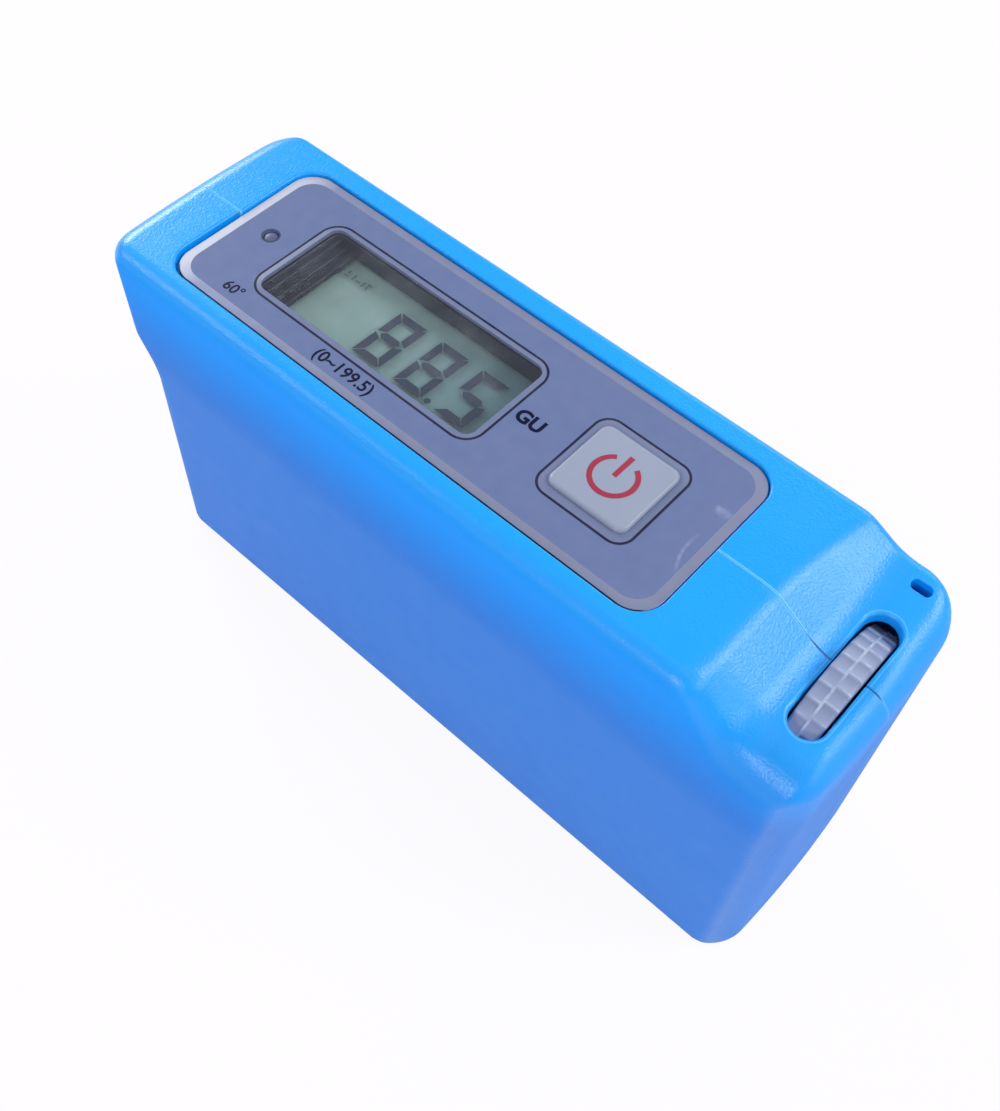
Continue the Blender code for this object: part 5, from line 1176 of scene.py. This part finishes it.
def makeWords(name, words, x, y, height, weight):
    # flat lettering made a mesh first, then scaled and laid on the label
    curve = bpy.data.curves.new(name, "FONT")
    curve.body = words
    curve.size = 1.0
    curve.offset = weight / height
    curve.resolution_u = 4
    holder = linked(name, curve)
    mesh = meshOf(holder)
    bpy.data.objects.remove(holder, do_unlink=True)
    scale = height / printing["figureShare"] * mm
    work = bmesh.new()
    work.from_mesh(mesh)
    bmesh.ops.remove_doubles(work, verts=work.verts, dist=0.0001)
    bmesh.ops.scale(work, vec=(scale, scale, 1), verts=work.verts)
    bmesh.ops.translate(work, vec=(x * mm, y * mm, (labelTop - printing["sink"]) * mm), verts=work.verts)
    top = bmesh.ops.extrude_face_region(work, geom=work.faces[:])
    moved = [item for item in top["geom"] if isinstance(item, bmesh.types.BMVert)]
    bmesh.ops.translate(work, vec=(0, 0, printing["thick"] * mm), verts=moved)
    bmesh.ops.recalc_face_normals(work, faces=work.faces)
    work.to_mesh(mesh)
    work.free()
    setPiece(linked(name, mesh), "print_dark", "case")


for number, line in enumerate(printing["lines"]):
    makeWords(f"printedWords{number + 1}", *line)
print("printing done")

indicatorShape = {
    "radius": 1.1, "dome": 0.35, "flange": 1.8, "flangeSpan": (54.75, 55.75),
    # ring printed round it: inner and outer radius, sink and thickness
    "ring": (1.12, 1.3), "ringSpan": (-0.01, 0.02),
}


def makeIndicator():
    # light guide with a low dome, and the dark ring printed round it
    radius, flange = indicatorShape["radius"], indicatorShape["flange"]
    under, over = indicatorShape["flangeSpan"]
    angle = np.linspace(0, np.pi / 2, 10)
    fall = indicatorShape["dome"] * (1 - np.cos(angle))
    profile = np.stack([radius * np.sin(angle), lensHigh[2] - fall], -1).tolist()
    profile += [[radius, over], [flange, over], [flange, under], [radius, under]]
    profile += [[radius, lensLow[2]], [0, lensLow[2]]]
    guide = turned("indicatorLens", profile, 48, lensCentre)
    setPiece(guide, "indicator_grey", "case", ["indicator_lens"])
    inner, outer = indicatorShape["ring"]
    low, high = labelTop + np.array(indicatorShape["ringSpan"])
    profile = [[inner, low], [inner, high], [outer, high], [outer, low]]
    ring = turned("indicatorRing", profile, 48, lensCentre, looped=True)
    setPiece(ring, "indicator_ring", "case")


makeIndicator()
print("indicator done")


# Calibration wheel

wheelShape = {
    # rim: teeth round it and points on each, stagger of the two columns, place of the crest, depth
    "pads": 38, "steps": 18, "stagger": 0.2, "crest": 0.8, "depth": 0.14, "crown": 0.4, "flat": 31,
    # raised line round the middle: half width, height, and its wear with a painted highlight
    "line": 0.09, "lineHeight": 0.9, "lineWearAndGlint": 0.7,
    # half width of a worn edge with its painted highlight, how far the rim may drop there, and the rise the
    # sides count with
    "wearAndGlint": 0.07, "wornDrop": 0.3, "sideRise": 0.75,
    # side: thickness of the rim and of the web, radius of the hub and of the bore, two chamfers
    "rim": 2.4, "web": 1.6, "hub": 5.0, "bore": 3.25, "outerChamfer": 0.35, "innerChamfer": 0.15,
}


def makeWheel():
    # radius = outer radius - depth * (1 - pad), over a grid of angle by place across the rim; pad
    # climbs evenly from 0 to 1 at the crest of each tooth and then drops, in two staggered columns
    low, high = nodeBox("calibration_wheel")
    radius = (high[2] - low[2]) / 2
    half = (high[0] - low[0]) / 2
    crown, pads, crest = wheelShape["crown"], wheelShape["pads"], wheelShape["crest"]
    bend = np.linspace(0, np.pi / 2, 5)
    inward, drop = crown * (1 - np.cos(bend)), crown * (1 - np.sin(bend))
    flat = np.linspace(-half + crown, half - crown, wheelShape["flat"])[1:-1]
    rimX = np.concatenate([-half + inward, flat, half - inward[::-1]])
    rimDrop = np.concatenate([drop, 0 * flat, drop[::-1]])
    angle = np.linspace(0, 2 * np.pi, pads * wheelShape["steps"], endpoint=False)
    column = (rimX > 0)[:, None] * wheelShape["stagger"]
    phase = (angle[None, :] * pads / (2 * np.pi) + column) % 1
    pad = np.minimum(phase / crest, (1 - phase) / (1 - crest))
    middle = np.clip(1 - (np.abs(rimX)[:, None] / wheelShape["line"] - 1), 0, 1)
    pad = np.maximum(pad, wheelShape["lineHeight"] * middle)
    rim = radius - rimDrop[:, None] - wheelShape["depth"] * (1 - pad)
    across = np.broadcast_to(rimX[:, None], rim.shape)
    rimRows = np.stack([across, rim * np.cos(angle), rim * np.sin(angle)], -1)
    web, hub, bore = wheelShape["web"] - half, wheelShape["hub"], wheelShape["bore"]
    side = radius - crown - wheelShape["outerChamfer"]
    inner, chamfer = radius - wheelShape["rim"], wheelShape["innerChamfer"]
    sideRows = turnedRings([
        (side, half), (inner, half), (inner - chamfer, half - chamfer), (inner - chamfer, web), (hub, web),
        (hub, half), (bore, half), (bore, -half), (side, -half),
    ], len(angle), axis="x")
    wheel = lofted("calibrationWheel", np.concatenate([rimRows, sideRows]) + (low + high) / 2, looped=True)
    # pad edges and the middle line, painted pale as wear and highlight
    near = np.clip(1 - np.abs(phase - crest) / wheelShape["wearAndGlint"], 0, 1)
    near *= (rimDrop < wheelShape["wornDrop"])[:, None]
    near = np.maximum(near, wheelShape["lineWearAndGlint"] * middle)
    # each attribute over the rim, with one value over the sides
    for name, values, rest in (("rise", pad, wheelShape["sideRise"]), ("padEdge", near, 0.0)):
        layer = wheel.data.attributes.new(name, "FLOAT", "POINT")
        values = np.concatenate([values, np.full(sideRows.shape[:2], rest)]).ravel()
        layer.data.foreach_set("value", values.astype(np.float32))
    setPiece(wheel, "wheel_grey", "wheel", ["calibration_wheel"], 50)


makeWheel()
print("wheel done")


# Screws

screwShape = {
    # rounding of the head; cross recess: half length and width as shares of the radius, share of the
    # head under it, how far its walls lean and the rounding of its corners
    "rounding": 0.5, "reach": 0.58, "width": 0.26, "floor": 0.35, "lean": 0.12, "corner": 0.03,
    # name, axis, head's way, radius and thickness, radius of the shank
    "kinds": [("case", 1, 1, 2.3, 1.6, 1.3), ("optics", 2, -1, 1.9, 1.1, 1.0)],
}


def makeScrew(kind, number, axis, outward, radius, thick, shank):
    # pan head with a cross recess and its shank, along the axis; outward is the head's way
    node = f"{kind}_screw_{number}"
    low, high = nodeBox(node)
    middle = (low + high) / 2
    middle[axis] = 0
    face, end = (high[axis], low[axis]) if outward > 0 else (low[axis], high[axis])
    seat = face - outward * thick
    rounding = screwShape["rounding"]
    bend = np.linspace(0, np.pi / 2, 6)
    profile = [(0, seat + outward * thick)] + [
        (radius - rounding + rounding * math.sin(a), seat + outward * (thick - rounding * (1 - math.cos(a))))
        for a in bend
    ]
    profile += [(radius, seat), (shank, seat), (shank, end + outward * shank), (0, end)]
    head = turned(f"{kind}Screw{number}", profile, 40, middle, "xyz"[axis])
    long, narrow = 2 * screwShape["reach"] * radius, screwShape["width"] * radius
    floor = seat + outward * thick * screwShape["floor"]
    profile = [[screwShape["lean"], floor], [0, seat + outward * (thick + 1)]]
    for size in ((long, narrow), (narrow, long)):
        rings = slabRings(*size, screwShape["corner"], profile, (0, 0), 2)
        carved(head, [lofted("drive", (toBack(rings) if axis == 1 else rings) + middle)])
    setPiece(head, "steel", "case", [node])


for number in range(1, 5):
    for kind, *shape in screwShape["kinds"]:
        makeScrew(kind, number, *shape)
print("screws done")


# Carried-over nodes, by finish

carried = {
    "steel": ["wheel_shaft", "potentiometer_bracket", "board_screw_1", "board_screw_2"],
    "brass": ["potentiometer_nut", "source_lens_ring", "receiver_lens_ring"],
    "spring_steel": ["positive_contact", "negative_contact", "battery_spring"],
    "black_metal": ["base_plate", "optics_block", "source_stop", "receiver_stop"],
    "inner_black": ["potentiometer", "lamp_holder", "detector_holder", "battery_tray"],
    "chip_black": ["controller_chip", "amplifier_chip", "switch_body"],
    "rubber": ["front_contact_strip", "rear_contact_strip"],
    "optical_glass": ["source_lens", "receiver_lens", "lamp"],
    "key_grey": ["switch_plunger"], "board_green": ["main_board"], "clear_plastic": ["indicator_diode"],
    "filter_glass": ["colour_filter"], "sensor_dark": ["photodiode"], "battery_sleeve": ["battery"],
}
for finish, nodes in carried.items():
    for node in nodes:
        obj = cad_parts[node]
        obj.data.materials.clear()
        obj.data.materials.append(finishes[finish])
print("carried-over nodes finished:", sum(map(len, carried.values())))


# Floor, light and camera

studio = {
    "floor": 2.4, "floorDrop": 0.0002, "floorPaint": (0.86, 0.68, 0.95, 1.0), "whiteShare": 0.92,
    "world": 0.32,
    # every lamp aims at this height over the part's axis; in metres, as the places are
    "aimHeight": 0.05,
    # place, the aim's x, size, power in watts, colour
    "lamps": {
        "skyPanel": ((0.15, -0.1, 0.95), 0.0, (0.7, 0.7), 1.1, (1, 1, 1)),
        "leftPanel": ((-0.7, 0.2, 0.34), 0.0, (0.3, 0.22), 3.2, (1, 1, 1)),
        "backPanel": ((0.0, 0.8, 0.5), 0.0, (0.7, 0.3), 1.9, (1, 1, 1)),
        "rightPanel": ((0.535, 0.357, 0.555), 0.05, (0.26, 0.26), 2.5, (1, 1, 1)),
        "frontPanel": ((0.1, -0.76, 0.4), 0.0, (0.3, 0.16), 2.0, (1, 0.94, 1)),
        "sidePanel": ((0.68, -0.08, 0.46), 0.05, (0.36, 0.12), 1.1, (1, 1, 1)),
        "cornerPanel": ((-0.56, -0.46, 0.54), 0.0, (0.14, 0.14), 1.1, (0.97, 0.88, 1)),
    },
}


def makeFloor():
    # matt floor that shows as white to the camera, and in gloss and glass, but keeps the shadow
    f = Finish("floor", "paleFloor", Base_Color=studio["floorPaint"], Roughness=1.0, Specular_IOR_Level=0.0)
    camera, gloss, glass = [
        f.node("ShaderNodeLightPath", output=f"Is {ray} Ray") for ray in ("Camera", "Glossy", "Transmission")
    ]
    white = f.node("ShaderNodeEmission", {}, {"Color": (1, 1, 1, 1), "Strength": 1.0})
    f.blended(studio["whiteShare"] * camera.larger(gloss).larger(glass), white)
    side, z = studio["floor"] / 2, -studio["floorDrop"]
    mesh = bpy.data.meshes.new("floor")
    corners = [(-side, -side, z), (side, -side, z), (side, side, z), (-side, side, z)]
    mesh.from_pydata(corners, [], [(0, 1, 2, 3)])
    mesh.materials.append(f.material)
    linked("floor", mesh)


def makeWorld():
    # plain light all round, seen as white by the camera
    world = bpy.data.worlds.new("studio")
    bpy.context.scene.world = world
    world.use_nodes = True
    tree = world.node_tree
    background = tree.nodes["Background"]
    background.inputs["Color"].default_value = (1, 1, 1, 1)
    path = tree.nodes.new("ShaderNodeLightPath")
    seen = tree.nodes.new("ShaderNodeMapRange")
    seen.inputs["To Min"].default_value = studio["world"]
    seen.inputs["To Max"].default_value = 1.0
    tree.links.new(path.outputs["Is Camera Ray"], seen.inputs["Value"])
    tree.links.new(seen.outputs[0], background.inputs["Strength"])


def makeLamps():
    for name, (place, aimX, size, power, colour) in studio["lamps"].items():
        lamp = bpy.data.lights.new(name, "AREA")
        lamp.shape = "RECTANGLE"
        lamp.size, lamp.size_y = size
        lamp.energy = power
        lamp.color = colour
        holder = linked(name, lamp)
        holder.location = place
        way = Vector((aimX, 0.0, studio["aimHeight"])) - Vector(place)
        holder.rotation_euler = way.to_track_quat("-Z", "Y").to_euler()


viewpoint = {
    "place": (65.159, -76.650, 176.020), "ahead": (-0.35523, 0.42335, -0.83342), "roll": 2.577,
    "lens": 41.12, "sensor": 36, "clipStart": 0.005,
}


def makeCamera():
    camera = bpy.data.cameras.new("camera")
    camera.lens = viewpoint["lens"]
    camera.sensor_width = viewpoint["sensor"]
    camera.clip_start = viewpoint["clipStart"]
    holder = linked("camera", camera)
    turn = Vector(viewpoint["ahead"]).to_track_quat("-Z", "Y").to_matrix().to_4x4()
    roll = Matrix.Rotation(math.radians(viewpoint["roll"]), 4, "Z")
    holder.matrix_world = Matrix.Translation(Vector(viewpoint["place"]) * mm) @ turn @ roll
    bpy.context.scene.camera = holder


makeFloor()
makeWorld()
makeLamps()
makeCamera()
bpy.context.scene.view_settings.view_transform = "Standard"
print("stage, light and camera done")
